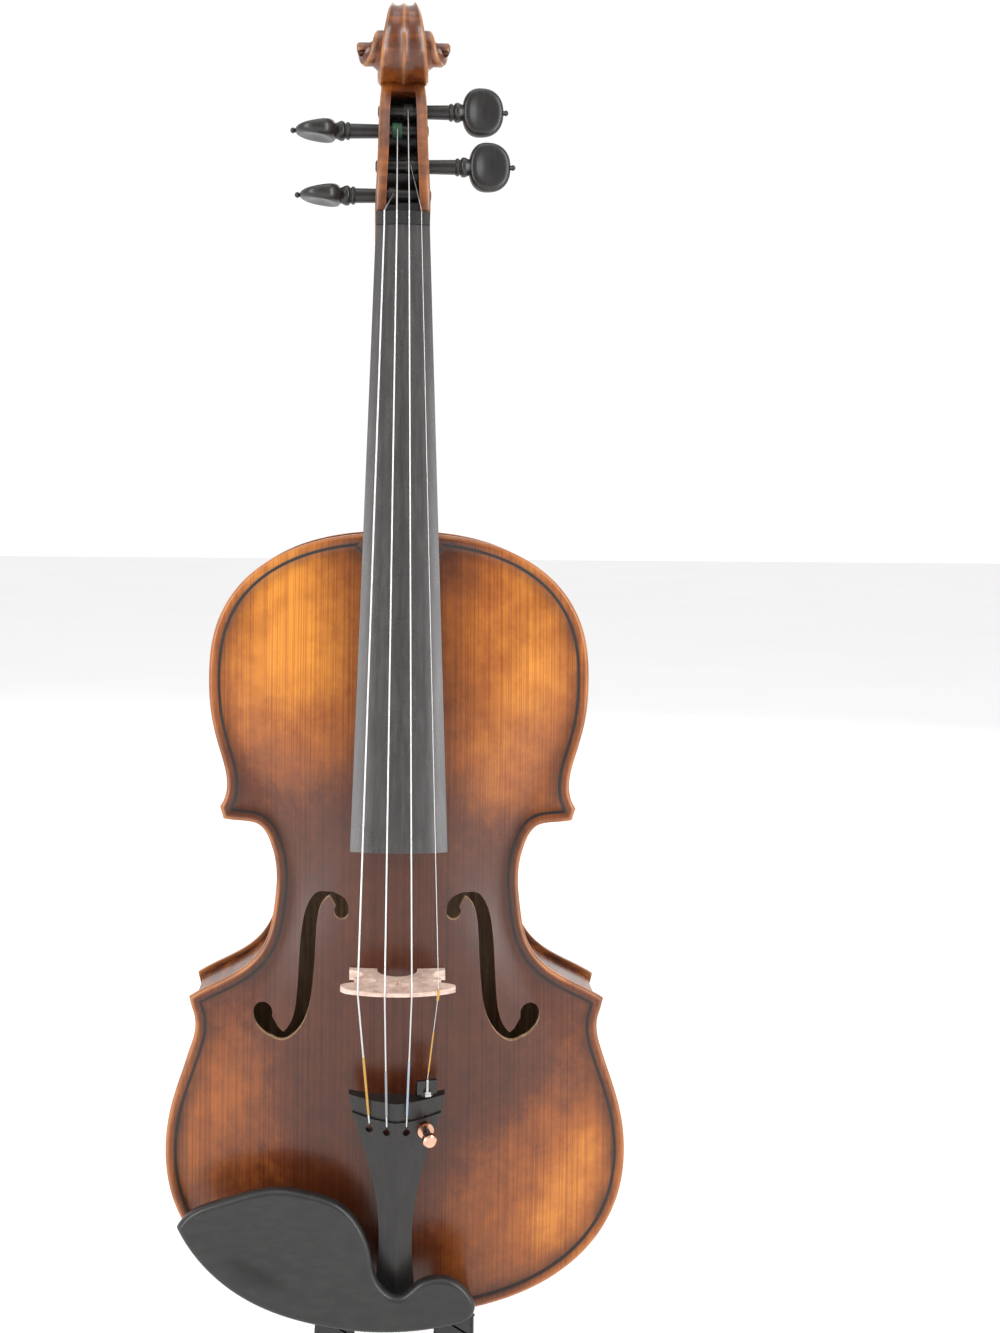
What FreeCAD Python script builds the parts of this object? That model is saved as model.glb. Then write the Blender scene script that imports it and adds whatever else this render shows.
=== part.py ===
import FreeCAD
import Part

import math
import os

import Sketcher
from FreeCAD import Placement, Rotation, Vector

# Violin of full size, built as its separate pieces.
#
# Bench frame: every piece is worked out lying on its back, x to the treble side, y up the
# length towards the scroll and z up out of the top.  Zero is the middle of the seam between
# nut and fingerboard, in the plane where the fingerboard is glued to the neck.  BENCH then
# stands the whole violin up: row +Z runs up the length, and the top faces row -Y.
#
# Body places are given as (x, down, height): down from the top edge of the body, and height
# above the flat border of the top plate.

SIZES = {
    # body outline
    "body_length": 356.0,
    "upper_width": 172.0,
    "waist_width": 109.6,
    "lower_width": 208.6,
    "upper_bout_down": 66.0,
    "waist_down": 158.0,
    "lower_bout_down": 280.0,
    "upper_corner_span": 161.2,
    "upper_corner_down": 124.5,
    "lower_corner_span": 188.0,
    "lower_corner_down": 211.0,
    "corner_end": 5.7,
    # body shell
    "rib_height": 31.0,
    "rib_thick": 1.0,
    "lining_thick": 2.0,
    "lining_height": 7.5,
    "edge_thick": 4.0,
    "edge_overhang": 2.5,
    "border_width": 6.5,
    "top_arch": 11.5,
    "back_arch": 11.0,
    "plate_thick": 3.0,
    "purfling_inset": 4.0,
    "purfling_width": 1.3,
    "purfling_deep": 1.5,
    "neck_block_width": 56.0,
    "neck_block_deep": 18.0,
    "end_block_width": 50.0,
    "end_block_deep": 16.0,
    "corner_block_radius": 21.0,
    "bar_width": 5.5,
    "bar_length": 270.0,
    "bar_deep": 11.0,
    "bar_across": 16.0,
    "post_radius": 3.1,
    "post_across": 18.0,
    "post_behind_bridge": 5.5,
    "f_eye_upper": 3.3,
    "f_eye_lower": 4.4,
    "pin_radius": 1.1,
    "button_width": 15.6,
    "button_reach": 9.9,
    "crown_band": 3.1,
    # neck, board and string line
    "neck_stop": 138.5,
    "board_pitch": 5.9,
    "overstand": 7.2,
    "board_length": 278.5,
    "board_width_nut": 24.4,
    "board_width_end": 42.4,
    "board_side": 4.8,
    "board_radius": 42.0,
    "nut_length": 6.0,
    "nut_proud": 0.8,
    "neck_depth_nut": 12.6,
    "neck_depth_heel": 14.6,
    "heel_width": 31.5,
    "neck_root": 5.5,
    "pegbox_width_nut": 25.1,
    "pegbox_width_top": 20.8,
    "pegbox_length": 68.0,
    "cheek_wall": 4.9,
    "scroll_eye_up": 85.3,
    "scroll_eye_back": 20.0,
    "scroll_radius": 23.3,
    "scroll_width": 43.6,
    # pegs
    "peg_radius": 3.45,
    "peg_taper": 60.0,
    "peg_clearance": 0.05,
    "peg_head_long": 18.0,
    "peg_head_wide": 23.0,
    "peg_head_thick": 10.5,
    "peg_collar_radius": 4.6,
    # bridge, tailpiece and tail end
    "bridge_stop": 196.0,
    "bridge_height": 33.0,
    "bridge_feet": 42.6,
    "bridge_foot_thick": 4.4,
    "bridge_top_thick": 1.5,
    "nut_string_span": 16.8,
    "bridge_string_span": 34.5,
    "tailpiece_length": 98.0,
    "tailpiece_width": 41.8,
    "tailpiece_down": 244.0,
    "tailpiece_wall": 3.0,
    "saddle_width": 35.0,
    "saddle_long": 7.0,
    "saddle_proud": 5.5,
    "tailgut_radius": 1.2,
    "tailgut_spread": 6.0,
    "tuner_post_radius": 1.7,
    "tuner_screw_radius": 0.9,
    "tuner_head_radius": 3.0,
    "tuner_pin_radius": 0.6,
    "end_button_radius": 7.0,
    "end_button_neck": 3.9,
    "end_button_long": 13.0,
    # chin rest
    "chinrest_thick": 6.5,
    "chinrest_level": 19.0,
    "cork_thick": 1.5,
    "clamp_half_span": 21.0,
    "clamp_foot_width": 46.5,
    "clamp_foot_thick": 3.0,
    "clamp_rod_radius": 1.6,
    "barrel_radius": 3.0,
    "barrel_length": 24.0,
    "thread_clearance": 0.05,
}

STRING_RADII = {"g": 0.41, "d": 0.38, "a": 0.34, "e": 0.15}
STRING_ORDER = ["g", "d", "a", "e"]
BENCH = Placement(Vector(0, 0, 0), Rotation(Vector(1, 0, 0), 90))
UP = Vector(0, 0, 1)
ACROSS = Vector(1, 0, 0)
CURVE_STEPS = 22

doc = FreeCAD.newDocument("violin")
sheet = doc.addObject("Spreadsheet::Sheet", "Sizes")
pieces = {}


def fill_sheet():
    for row, (alias, value) in enumerate(SIZES.items(), start=1):
        sheet.set("A%d" % row, alias)
        sheet.set("B%d" % row, str(value))
        sheet.setAlias("B%d" % row, alias)
    doc.recompute()


def size(alias):
    return float(sheet.get(alias))


fill_sheet()

PITCH = math.radians(size("board_pitch"))
EDGE_Z = size("neck_stop") * math.tan(PITCH) - size("overstand")
RIB_TOP = EDGE_Z - size("edge_thick")
RIB_LOW = RIB_TOP - size("rib_height")
BACK_Z = RIB_LOW - size("edge_thick")
BELLY_Z = EDGE_Z + size("top_arch")


# ---------------------------------------------------------------- document helpers


def add_shape(name, shape):
    """A free-form piece, worked out in the bench frame."""
    feature = doc.addObject("Part::Feature", name)
    feature.Label = name
    feature.Shape = shape
    feature.Placement = BENCH
    pieces[name] = feature
    return feature


def add_body(name, local=Placement()):
    """An empty PartDesign body whose own frame lies at a place of the bench frame."""
    body = doc.addObject("PartDesign::Body", name)
    body.Label = name
    body.Placement = BENCH.multiply(local)
    pieces[name] = body
    return body


def origin_plane(body, role):
    return next(f for f in body.Origin.OriginFeatures if f.Role == role)


def add_sketch(body, name, role, offset=None):
    sketch = body.newObject("Sketcher::SketchObject", name)
    sketch.AttachmentSupport = [(origin_plane(body, role), "")]
    sketch.MapMode = "FlatFace"
    if offset is not None:
        sketch.AttachmentOffset = Placement(Vector(0, 0, 0), Rotation())
        sketch.setExpression("AttachmentOffset.Base.z", offset)
    return sketch


def draw_polygon(sketch, corners):
    """A closed polygon; each corner is a pair of expressions on the sheet."""
    values = [[float(sketch.evalExpression(e)) for e in corner] for corner in corners]
    count = len(values)
    base = sketch.GeometryCount
    for i, here in enumerate(values):
        there = values[(i + 1) % count]
        sketch.addGeometry(Part.LineSegment(Vector(*here, 0), Vector(*there, 0)), False)
    for i in range(count):
        sketch.addConstraint(Sketcher.Constraint("Coincident", base + i, 2, base + (i + 1) % count, 1))
    for i, (across, up) in enumerate(corners):
        for kind, text, value in (("DistanceX", across, values[i][0]), ("DistanceY", up, values[i][1])):
            index = sketch.addConstraint(Sketcher.Constraint(kind, -1, 1, base + i, 1, value))
            sketch.setExpression("Constraints[%d]" % index, text)


def draw_crowned(sketch, width, side, radius):
    """Flat bottom, two upright sides and a crown of one radius, about the sketch's y axis."""
    half, tall, round_ = (float(sketch.evalExpression(e)) for e in (width + " / 2", side, radius))
    drop = math.sqrt(round_ ** 2 - half ** 2)
    left, right = Vector(-half, tall, 0), Vector(half, tall, 0)
    crown = Part.Arc(right, Vector(0, tall - drop + round_, 0), left)
    sketch.addGeometry(Part.LineSegment(Vector(-half, 0, 0), Vector(half, 0, 0)), False)
    sketch.addGeometry(Part.LineSegment(Vector(half, 0, 0), right), False)
    sketch.addGeometry(crown, False)
    sketch.addGeometry(Part.LineSegment(left, Vector(-half, 0, 0)), False)
    for first, end, second, start in ((0, 2, 1, 1), (1, 2, 2, 1), (2, 2, 3, 1), (3, 2, 0, 1)):
        sketch.addConstraint(Sketcher.Constraint("Coincident", first, end, second, start))
    sketch.addConstraint(Sketcher.Constraint("Horizontal", 0))
    sketch.addConstraint(Sketcher.Constraint("Vertical", 1))
    sketch.addConstraint(Sketcher.Constraint("Vertical", 3))
    sketch.addConstraint(Sketcher.Constraint("Symmetric", 0, 1, 0, 2, -1, 1))
    sketch.addConstraint(Sketcher.Constraint("Equal", 1, 3))
    for kind, target, text, value in (("Distance", 0, width, 2 * half), ("Distance", 1, side, tall),
                                      ("Radius", 2, radius, round_)):
        index = sketch.addConstraint(Sketcher.Constraint(kind, target, value))
        sketch.setExpression("Constraints[%d]" % index, text)


def revolve(body, sketch, axis="V_Axis"):
    feature = body.newObject("PartDesign::Revolution", sketch.Name + "_turned")
    feature.Profile = sketch
    feature.ReferenceAxis = (sketch, [axis])
    feature.Angle = 360
    sketch.Visibility = False
    return feature


def pad(body, sketch, length, both=False, back=False):
    feature = body.newObject("PartDesign::Pad", sketch.Name + "_pad")
    feature.Profile = sketch
    feature.setExpression("Length", length)
    feature.SideType = "Symmetric" if both else "One side"
    feature.Reversed = back
    return feature


def turned(name, local, corners):
    """A body of revolution about its own y axis, from (radius, height) corners."""
    body = add_body(name, local)
    sketch = add_sketch(body, name + "_profile", "XY_Plane")
    draw_polygon(sketch, corners)
    revolve(body, sketch)
    return body


def spline(points):
    """Smooth curve through points."""
    curve = Part.BSplineCurve()
    curve.interpolate(Points=points)
    return curve


def spline_from_middle(points):
    """Smooth curve whose first point is on the centreline, which it crosses squarely."""
    curve = spline([Vector(-p.x, p.y, p.z) for p in points[:0:-1]] + points)
    curve.segment(curve.parameter(points[0]), curve.LastParameter)
    return curve


def spline_to_middle(points):
    """Smooth curve whose last point is on the centreline, which it crosses squarely."""
    curve = spline(points + [Vector(-p.x, p.y, p.z) for p in points[-2::-1]])
    curve.segment(curve.FirstParameter, curve.parameter(points[-1]))
    return curve


def prism(wire, low, high):
    face = Part.Face(wire)
    face.translate(Vector(0, 0, low))
    return face.extrude(Vector(0, 0, high - low))


def polygon(points):
    return Part.makePolygon(points + [points[0]])


def outward(shape):
    """The same solid with its faces turned outwards."""
    if shape.Volume < 0:
        shape.reverse()
    return shape


def bar(start, end, radius):
    """A round bar from one point to another."""
    return Part.makeCylinder(radius, (end - start).Length, start, end - start)


def tube_path(points, radius):
    """A round wire along straight runs, with a ball at each bend."""
    runs = [bar(a, b, radius) for a, b in zip(points, points[1:])]
    balls = [Part.makeSphere(radius, p) for p in points[1:-1]]
    return runs[0].multiFuse(runs[1:] + balls).removeSplitter()


# ---------------------------------------------------------------- body outline


def place(across, down, height=0.0):
    return Vector(across, -size("neck_stop") - down, EDGE_Z + height)


def flat(across, down):
    return Vector(across, -size("neck_stop") - down, 0)


def rounded_quarter(half, reach, power):
    """Quarter of a superellipse, from the middle of an end to the widest place of the bout."""
    steps = 6
    for i in range(steps + 1):
        turn = math.pi / 2 * i / steps
        yield half * math.sin(turn) ** (2 / power), reach * (1 - math.cos(turn) ** (2 / power))


def corner_points():
    """Outer and inner tips of the upper and the lower corner, as (across, down)."""
    end = size("corner_end")
    upper = (size("upper_corner_span") / 2, size("upper_corner_down"))
    lower = (size("lower_corner_span") / 2, size("lower_corner_down"))
    lean = 0.28
    upper_in = (upper[0] - end * lean, upper[1] + end * math.sqrt(1 - lean ** 2))
    lower_in = (lower[0] - end * lean * 0.9, lower[1] + end * 0.97)
    return upper, upper_in, lower, lower_in


def bout_halves():
    return [size(name) / 2 for name in ("upper_width", "waist_width", "lower_width")]


def bout_downs():
    return [size(name) for name in ("upper_bout_down", "waist_down", "lower_bout_down")]


def half_outline():
    """The treble half of the outline, as three curves: upper bout, centre bout, lower bout."""
    upper_half, waist_half, lower_half = bout_halves()
    upper_down, waist_down, lower_down = bout_downs()
    upper, upper_in, lower, lower_in = corner_points()

    points = [flat(x, u) for x, u in rounded_quarter(upper_half, upper_down, 2.4)]
    for along, inward in ((0.34, 0.31), (0.60, 1.06), (0.83, 1.56)):
        points.append(flat(upper_half - inward * (upper_half - upper[0]),
                           upper_down + along * (upper[1] - upper_down)))
    points.append(flat(*upper))
    upper_curve = spline_from_middle(points)

    points = [flat(*upper_in)]
    for along, outward in ((0.035, 0.65), (0.107, 0.32), (0.364, 0.128), (0.68, 0.025)):
        points.append(flat(waist_half + outward * (upper_in[0] - waist_half),
                           upper_in[1] + along * (waist_down - upper_in[1])))
    points.append(flat(waist_half, waist_down))
    for along, outward in ((0.213, 0.026), (0.489, 0.105), (0.625, 0.207), (0.72, 0.33), (0.86, 0.64)):
        points.append(flat(waist_half + outward * (lower[0] - waist_half),
                           waist_down + along * (lower[1] - waist_down)))
    points.append(flat(*lower))
    centre_curve = spline(points)

    points = [flat(*lower_in)]
    for along, inward in ((0.085, 1.12), (0.227, 1.01), (0.459, 0.60), (0.688, 0.214)):
        points.append(flat(lower_half - inward * (lower_half - lower_in[0]),
                           lower_in[1] + along * (lower_down - lower_in[1])))
    end_points = [flat(x, size("body_length") - u) for x, u in
                  rounded_quarter(lower_half, size("body_length") - lower_down, 2.2)]
    lower_curve = spline_to_middle(points + end_points[::-1])
    return upper_curve, centre_curve, lower_curve


OUTLINE = half_outline()


def moved_in(curve, distance):
    """Points along a curve, moved to its right, which is towards the inside of the body."""
    points = []
    for i in range(CURVE_STEPS + 1):
        t = curve.FirstParameter + (curve.LastParameter - curve.FirstParameter) * i / CURVE_STEPS
        along = curve.tangent(t)[0]
        points.append(curve.value(t) + Vector(along.y, -along.x, 0) * distance)
    return points


def crossing(a, b, c, d):
    """Where segment ab crosses segment cd, or None."""
    r, s = b - a, d - c
    across = r.x * s.y - r.y * s.x
    if abs(across) < 1e-9:
        return None
    t = ((c.x - a.x) * s.y - (c.y - a.y) * s.x) / across
    w = ((c.x - a.x) * r.y - (c.y - a.y) * r.x) / across
    return a + r * t if 0 <= t <= 1 and 0 <= w <= 1 else None


CORNER_REACH = 14.0


def clip_end(points, origin, normal, distance):
    """Cuts the last stretch of a row of points where it passes the corner's end line."""
    depth = [(p - origin).dot(normal) - distance for p in points]
    for i in range(len(points) - 1, 0, -1):
        if (points[-1] - points[i]).Length > CORNER_REACH:
            break
        if depth[i - 1] > 0 > depth[i]:
            share = depth[i - 1] / (depth[i - 1] - depth[i])
            return points[:i] + [points[i - 1] + (points[i] - points[i - 1]) * share]
    return points


def thin(points):
    """Drops a point that lies too near the next one at either end of a row."""
    if (points[1] - points[0]).Length < 0.6:
        points = [points[0]] + points[2:]
    if (points[-1] - points[-2]).Length < 0.6:
        points = points[:-2] + [points[-1]]
    return points


def meet(before, after, tip_a, tip_b, distance):
    """Trims two rows at a corner: at their crossing, or at the corner's own end line."""
    along = (tip_b - tip_a).normalize()
    normal = Vector(along.y, -along.x, 0)
    before = clip_end(before, tip_a, normal, distance)
    after = clip_end(after[::-1], tip_a, normal, distance)[::-1]
    near_end = [i for i in range(1, len(before)) if (before[i] - before[-1]).Length < CORNER_REACH]
    near_start = [j for j in range(len(after) - 1) if (after[j] - after[0]).Length < CORNER_REACH]
    for i in near_end[::-1]:
        for j in near_start:
            point = crossing(before[i - 1], before[i], after[j], after[j + 1])
            if point is not None:
                return before[:i] + [point], [point] + after[j + 1:]
    return before, after


def inset_rows(distance):
    """The three rows of points of the treble half outline, moved in by a distance."""
    upper, upper_in, lower, lower_in = (flat(*p) for p in corner_points())
    first, middle, last = (moved_in(curve, distance) for curve in OUTLINE)
    first, middle = meet(first, middle, upper, upper_in, distance)
    middle, last = meet(middle, last, lower, lower_in, distance)
    return [thin(first), thin(middle), thin(last)]


def mirrored(points):
    return [Vector(-p.x, p.y, p.z) for p in points]


def inset_wire(distance):
    """The whole outline, moved in by a distance, as one closed wire."""
    right = inset_curves(distance)
    left = [mirror_solid(edge) for edge in right[::-1]]
    edges = right + left
    ends = [(e.valueAt(e.FirstParameter), e.valueAt(e.LastParameter)) for e in right]
    for (_, end), (start, _) in zip(ends, ends[1:]):
        if (end - start).Length > 1e-4:
            line = Part.LineSegment(end, start).toShape()
            edges += [line, mirror_solid(line)]
    return Part.Wire(Part.__sortEdges__(edges))


def inset_curves(distance):
    """Edges of the treble half outline, moved in: upper bout, centre bout, lower bout."""
    first, middle, last = inset_rows(distance)
    return [spline_from_middle(first).toShape(), spline(middle).toShape(), spline_to_middle(last).toShape()]


def mirror_solid(shape):
    """The same shape on the other side of the violin."""
    return shape.mirror(Vector(0, 0, 0), ACROSS)


# ---------------------------------------------------------------- arching


def eased(start, end, share):
    return start + (end - start) * (0.5 - 0.5 * math.cos(math.pi * share))


def arch_half_width(down, margin):
    """Half width of the raised part of a plate, smooth past the corners."""
    upper_half, waist_half, lower_half = (half - margin for half in bout_halves())
    upper_down, waist_down, lower_down = bout_downs()
    if down < upper_down:
        share = min((upper_down - down) / (upper_down - margin), 1.0)
        return upper_half * (1 - share ** 2.4) ** (1 / 2.4)
    if down < waist_down:
        return eased(upper_half, waist_half, (down - upper_down) / (waist_down - upper_down))
    if down < lower_down:
        return eased(waist_half, lower_half, (down - waist_down) / (lower_down - waist_down))
    share = min((down - lower_down) / (size("body_length") - margin - lower_down), 1.0)
    return lower_half * (1 - share ** 2.2) ** (1 / 2.2)


def arch_share(across, down, margin):
    """Share of the full arch at a place: 1 in the middle of the plate and 0 at its border."""
    half_length = size("body_length") / 2
    along = abs(down - half_length) / (half_length - margin)
    half = arch_half_width(down, margin)
    if along >= 1 or half <= abs(across):
        return 0.0
    return (1 - along ** 3) ** 1.1 * (1 - (abs(across) / half) ** 2.3) ** 1.4


def arch_face(margin, base, rise, sign):
    """Curved face over the whole plate, at base and rising to base + rise in the middle."""
    spare = 8.0
    columns, rows = 25, 41
    half = size("lower_width") / 2 + spare
    grid = []
    for i in range(columns):
        across = -half + 2 * half * i / (columns - 1)
        line = []
        for j in range(rows):
            down = -spare + (size("body_length") + 2 * spare) * j / (rows - 1)
            point = flat(across, down)
            point.z = base + sign * rise * arch_share(across, down, margin)
            line.append(point)
        grid.append(line)
    surface = Part.BSplineSurface()
    surface.interpolate(grid)
    return surface.toShape()


def thick_face(face, reach):
    return face.extrude(Vector(0, 0, reach))


OUTER_SINK = 0.5
INNER_SINK = 0.3
INNER_MARGIN = size("border_width") + 3
DEPTH = 60
HOLLOW = size("edge_thick") - size("plate_thick") + INNER_SINK
TOP_OUT = thick_face(arch_face(size("border_width"), EDGE_Z - OUTER_SINK,
                               size("top_arch") + OUTER_SINK, 1), -DEPTH)
TOP_IN = thick_face(arch_face(INNER_MARGIN, RIB_TOP - INNER_SINK, size("top_arch") + HOLLOW, 1), -DEPTH)
BACK_OUT = thick_face(arch_face(size("border_width"), BACK_Z + OUTER_SINK,
                                size("back_arch") + OUTER_SINK, -1), DEPTH)
BACK_IN = thick_face(arch_face(INNER_MARGIN, RIB_LOW + INNER_SINK, size("back_arch") + HOLLOW, -1), DEPTH)


# ---------------------------------------------------------------- blocks, ribs, linings


def rib_inset():
    return size("edge_overhang")


def lining_inset():
    return size("edge_overhang") + size("rib_thick")


def block_region(low, high):
    """Plan of each block, by name, as prisms between two levels."""
    inside = prism(inset_wire(lining_inset()), low, high)
    tall = high - low + 2
    base = UP * (low - 1)
    deep = size("neck_block_deep") + lining_inset()
    wide = size("neck_block_width")
    shapes = {"neck_block": Part.makeBox(wide, deep, tall, flat(-wide / 2, deep) + base)}
    deep = size("end_block_deep") + lining_inset()
    wide = size("end_block_width")
    shapes["end_block"] = Part.makeBox(wide, deep, tall, flat(-wide / 2, size("body_length")) + base)
    upper, _, lower, _ = corner_points()
    for name, (across, down) in (("upper", upper), ("lower", lower)):
        for side, sign in (("bass", -1), ("treble", 1)):
            key = "corner_block_%s_%s" % (name, side)
            shapes[key] = Part.makeCylinder(size("corner_block_radius"), tall,
                                            flat(sign * (across - 3), down + 2) + base)
    return {name: inside.common(shape) for name, shape in shapes.items()}


BLOCKS = block_region(RIB_LOW, RIB_TOP)
BLOCK_CORES = block_region(BACK_Z - size("back_arch") - 10, BELLY_Z + 10)


def rib_plans():
    """Closed plan wire of each rib of the treble side; neighbours are mitred at the corners."""
    outer = inset_rows(rib_inset())
    inner = inset_rows(lining_inset())
    middles = [(outer[0][-1] + outer[1][0]) * 0.5, (outer[1][-1] + outer[2][0]) * 0.5]
    starts = [None] + middles
    ends = middles + [None]
    plans = []
    curves = zip(inset_curves(rib_inset()), inset_curves(lining_inset()))
    for out_row, in_row, start, end, pair in zip(outer, inner, starts, ends, curves):
        corners = [out_row[-1]] + ([end] if end else []) + [in_row[-1]]
        corners_back = [in_row[0]] + ([start] if start else []) + [out_row[0]]
        edges = list(pair)
        for chain in (corners, corners_back):
            for a, b in zip(chain, chain[1:]):
                if (a - b).Length > 1e-6:
                    edges.append(Part.LineSegment(a, b).toShape())
        plans.append(Part.Wire(Part.__sortEdges__(edges)))
    return plans


def make_ribs(heel, pin):
    for name, plan in zip(("upper", "centre", "lower"), rib_plans()):
        rib = prism(plan, RIB_LOW, RIB_TOP)
        for side, shape in (("treble", rib), ("bass", mirror_solid(rib))):
            if name == "upper":
                shape = shape.cut(heel)
            if name == "lower":
                shape = shape.cut(pin)
            add_shape("rib_%s_%s" % (name, side), shape)


def make_blocks(heel, pin):
    for name, shape in BLOCKS.items():
        if name == "neck_block":
            shape = shape.cut(heel)
        if name == "end_block":
            shape = shape.cut(pin)
        add_shape(name, shape)


def make_linings():
    blocks = list(BLOCKS.values())
    for name, low, high in (("linings_top", RIB_TOP - size("lining_height"), RIB_TOP),
                            ("linings_back", RIB_LOW, RIB_LOW + size("lining_height"))):
        outside = prism(inset_wire(lining_inset()), low, high)
        inside = prism(inset_wire(lining_inset() + size("lining_thick")), low - 1, high + 1)
        add_shape(name, outside.cut(inside).cut(blocks))


# ---------------------------------------------------------------- plates


def f_hole():
    """Sound hole of the treble side, as a tall prism; places are measured from the bridge line."""
    stop = size("bridge_stop")

    def spot(across, above):
        return flat(across, stop - above)

    top_eye, low_eye = spot(25.2, 26.4), spot(60.3, -20.8)
    outer = spline([spot(25.4, 30.6), spot(27.6, 34.0), spot(31.2, 34.9), spot(35.6, 34.4), spot(39.9, 29.4),
                    spot(42.5, 21.0), spot(43.9, 8.0), spot(44.9, -9.9), spot(46.3, -20.6),
                    spot(49.0, -26.4), spot(50.9, -28.4)])
    lower_wing = spline([spot(50.9, -28.4), spot(54.0, -26.2), spot(57.0, -23.6)])
    inner = spline([spot(60.3, -25.2), spot(56.6, -31.0), spot(51.2, -32.2), spot(46.0, -29.2),
                    spot(42.5, -24.7), spot(39.9, -18.4), spot(38.0, -7.0), spot(37.0, 6.0), spot(36.4, 18.8),
                    spot(35.6, 24.7), spot(33.4, 30.1), spot(30.5, 33.0)])
    upper_wing = spline([spot(30.5, 33.0), spot(28.6, 31.0), spot(27.4, 28.6)])
    edges = [outer.toShape(), lower_wing.toShape(),
             Part.LineSegment(spot(57.0, -23.6), spot(60.3, -25.2)).toShape(), inner.toShape(),
             upper_wing.toShape(), Part.LineSegment(spot(27.4, 28.6), spot(25.4, 30.6)).toShape()]
    low, high = RIB_TOP - 5, BELLY_Z + 5
    stem = prism(Part.Wire(edges), low, high)
    eyes = [Part.makeCylinder(size("f_eye_upper"), high - low, top_eye + UP * low),
            Part.makeCylinder(size("f_eye_lower"), high - low, low_eye + UP * low)]
    toe = spline([spot(64.5, -19.5), spot(64.6, -24.0), spot(61.5, -28.4), spot(56.6, -31.0),
                  spot(53.0, -27.0)])
    toe_wire = Part.Wire([toe.toShape(), Part.LineSegment(spot(53.0, -27.0), spot(57.5, -20.0)).toShape(),
                          Part.LineSegment(spot(57.5, -20.0), spot(64.5, -19.5)).toShape()])
    hook = spline([spot(22.2, 27.6), spot(22.8, 31.4), spot(26.4, 34.2), spot(31.0, 34.9), spot(30.0, 32.4)])
    hook_wire = Part.Wire([hook.toShape(), Part.LineSegment(spot(30.0, 32.4), spot(27.6, 28.0)).toShape(),
                           Part.LineSegment(spot(27.6, 28.0), spot(22.2, 27.6)).toShape()])
    return stem.multiFuse(eyes + [prism(toe_wire, low, high), prism(hook_wire, low, high)])


def purfling_ring(low, high):
    inset = size("purfling_inset")
    outside = prism(inset_wire(inset), low, high)
    return outside.cut(prism(inset_wire(inset + size("purfling_width")), low - 1, high + 1))


def plate_shell(outer, inner, border, groove, keep):
    """A plate: flat border with its purfling groove, raised middle, and hollow inside."""
    slab = prism(inset_wire(0.0), *border)
    dome = prism(inset_wire(size("border_width") - 0.3), *keep).common(outer)
    floor = prism(inset_wire(lining_inset() + size("lining_thick")), *keep).cut(list(BLOCK_CORES.values()))
    return slab.fuse(dome).cut(floor.common(inner)).cut(groove)


def make_top_plate(heel, saddle, f_bass, f_treble):
    groove = purfling_ring(EDGE_Z - size("purfling_deep"), EDGE_Z + 1)
    shell = plate_shell(TOP_OUT, TOP_IN, (RIB_TOP, EDGE_Z), groove, (RIB_TOP, BELLY_Z + 5))
    shell = shell.cut([f_bass, f_treble, heel, saddle])
    add_shape("top_plate", shell)
    ring = purfling_ring(EDGE_Z - size("purfling_deep"), EDGE_Z)
    add_shape("purfling_top", ring.cut([heel, saddle]))


def button_plan(low, high):
    """Half-round tab of the back that the heel stands on."""
    half, reach = size("button_width") / 2, size("button_reach")
    top = Part.Arc(flat(-half, -reach + half), flat(0, -reach), flat(half, -reach + half))
    edges = [top.toShape(), Part.LineSegment(flat(half, -reach + half), flat(half, 1)).toShape(),
             Part.LineSegment(flat(half, 1), flat(-half, 1)).toShape(),
             Part.LineSegment(flat(-half, 1), flat(-half, -reach + half)).toShape()]
    return prism(Part.Wire(edges), low, high)


def crown_plan(low, high):
    """Ebony crown round the button, up to the border of the back."""
    band = size("crown_band")
    half, reach = size("button_width") / 2 + band, size("button_reach") + band
    top = Part.Arc(flat(-half, -reach + half), flat(0, -reach), flat(half, -reach + half))
    edges = [top.toShape(), Part.LineSegment(flat(half, -reach + half), flat(half, 2)).toShape(),
             Part.LineSegment(flat(half, 2), flat(-half, 2)).toShape(),
             Part.LineSegment(flat(-half, 2), flat(-half, -reach + half)).toShape()]
    return prism(Part.Wire(edges), low, high)


def make_back_plate():
    groove = purfling_ring(BACK_Z - 1, BACK_Z + size("purfling_deep"))
    lowest = BACK_Z - size("back_arch") - 5
    shell = plate_shell(BACK_OUT, BACK_IN, (BACK_Z, RIB_LOW), groove, (lowest, RIB_LOW))
    shell = shell.fuse(button_plan(BACK_Z, RIB_LOW))
    holes = [Part.makeCylinder(size("pin_radius"), 2.2, flat(0, down) + UP * (BACK_Z - 0.01))
             for down in pin_places()]
    add_shape("back_plate", shell.cut(holes))
    add_shape("purfling_back", purfling_ring(BACK_Z, BACK_Z + size("purfling_deep")))
    crown = crown_plan(BACK_Z, RIB_LOW).cut(prism(inset_wire(0.0), BACK_Z - 1, RIB_LOW + 1))
    add_shape("button_crown", crown.cut(button_plan(BACK_Z - 1, RIB_LOW + 1)))
    pins = [Part.makeCylinder(size("pin_radius"), 2.19, flat(0, down) + UP * BACK_Z) for down in pin_places()]
    add_shape("locating_pins", Part.makeCompound(pins))


def pin_places():
    inset = size("purfling_inset") + size("purfling_width") + 2.2
    return inset, size("body_length") - inset


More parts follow.
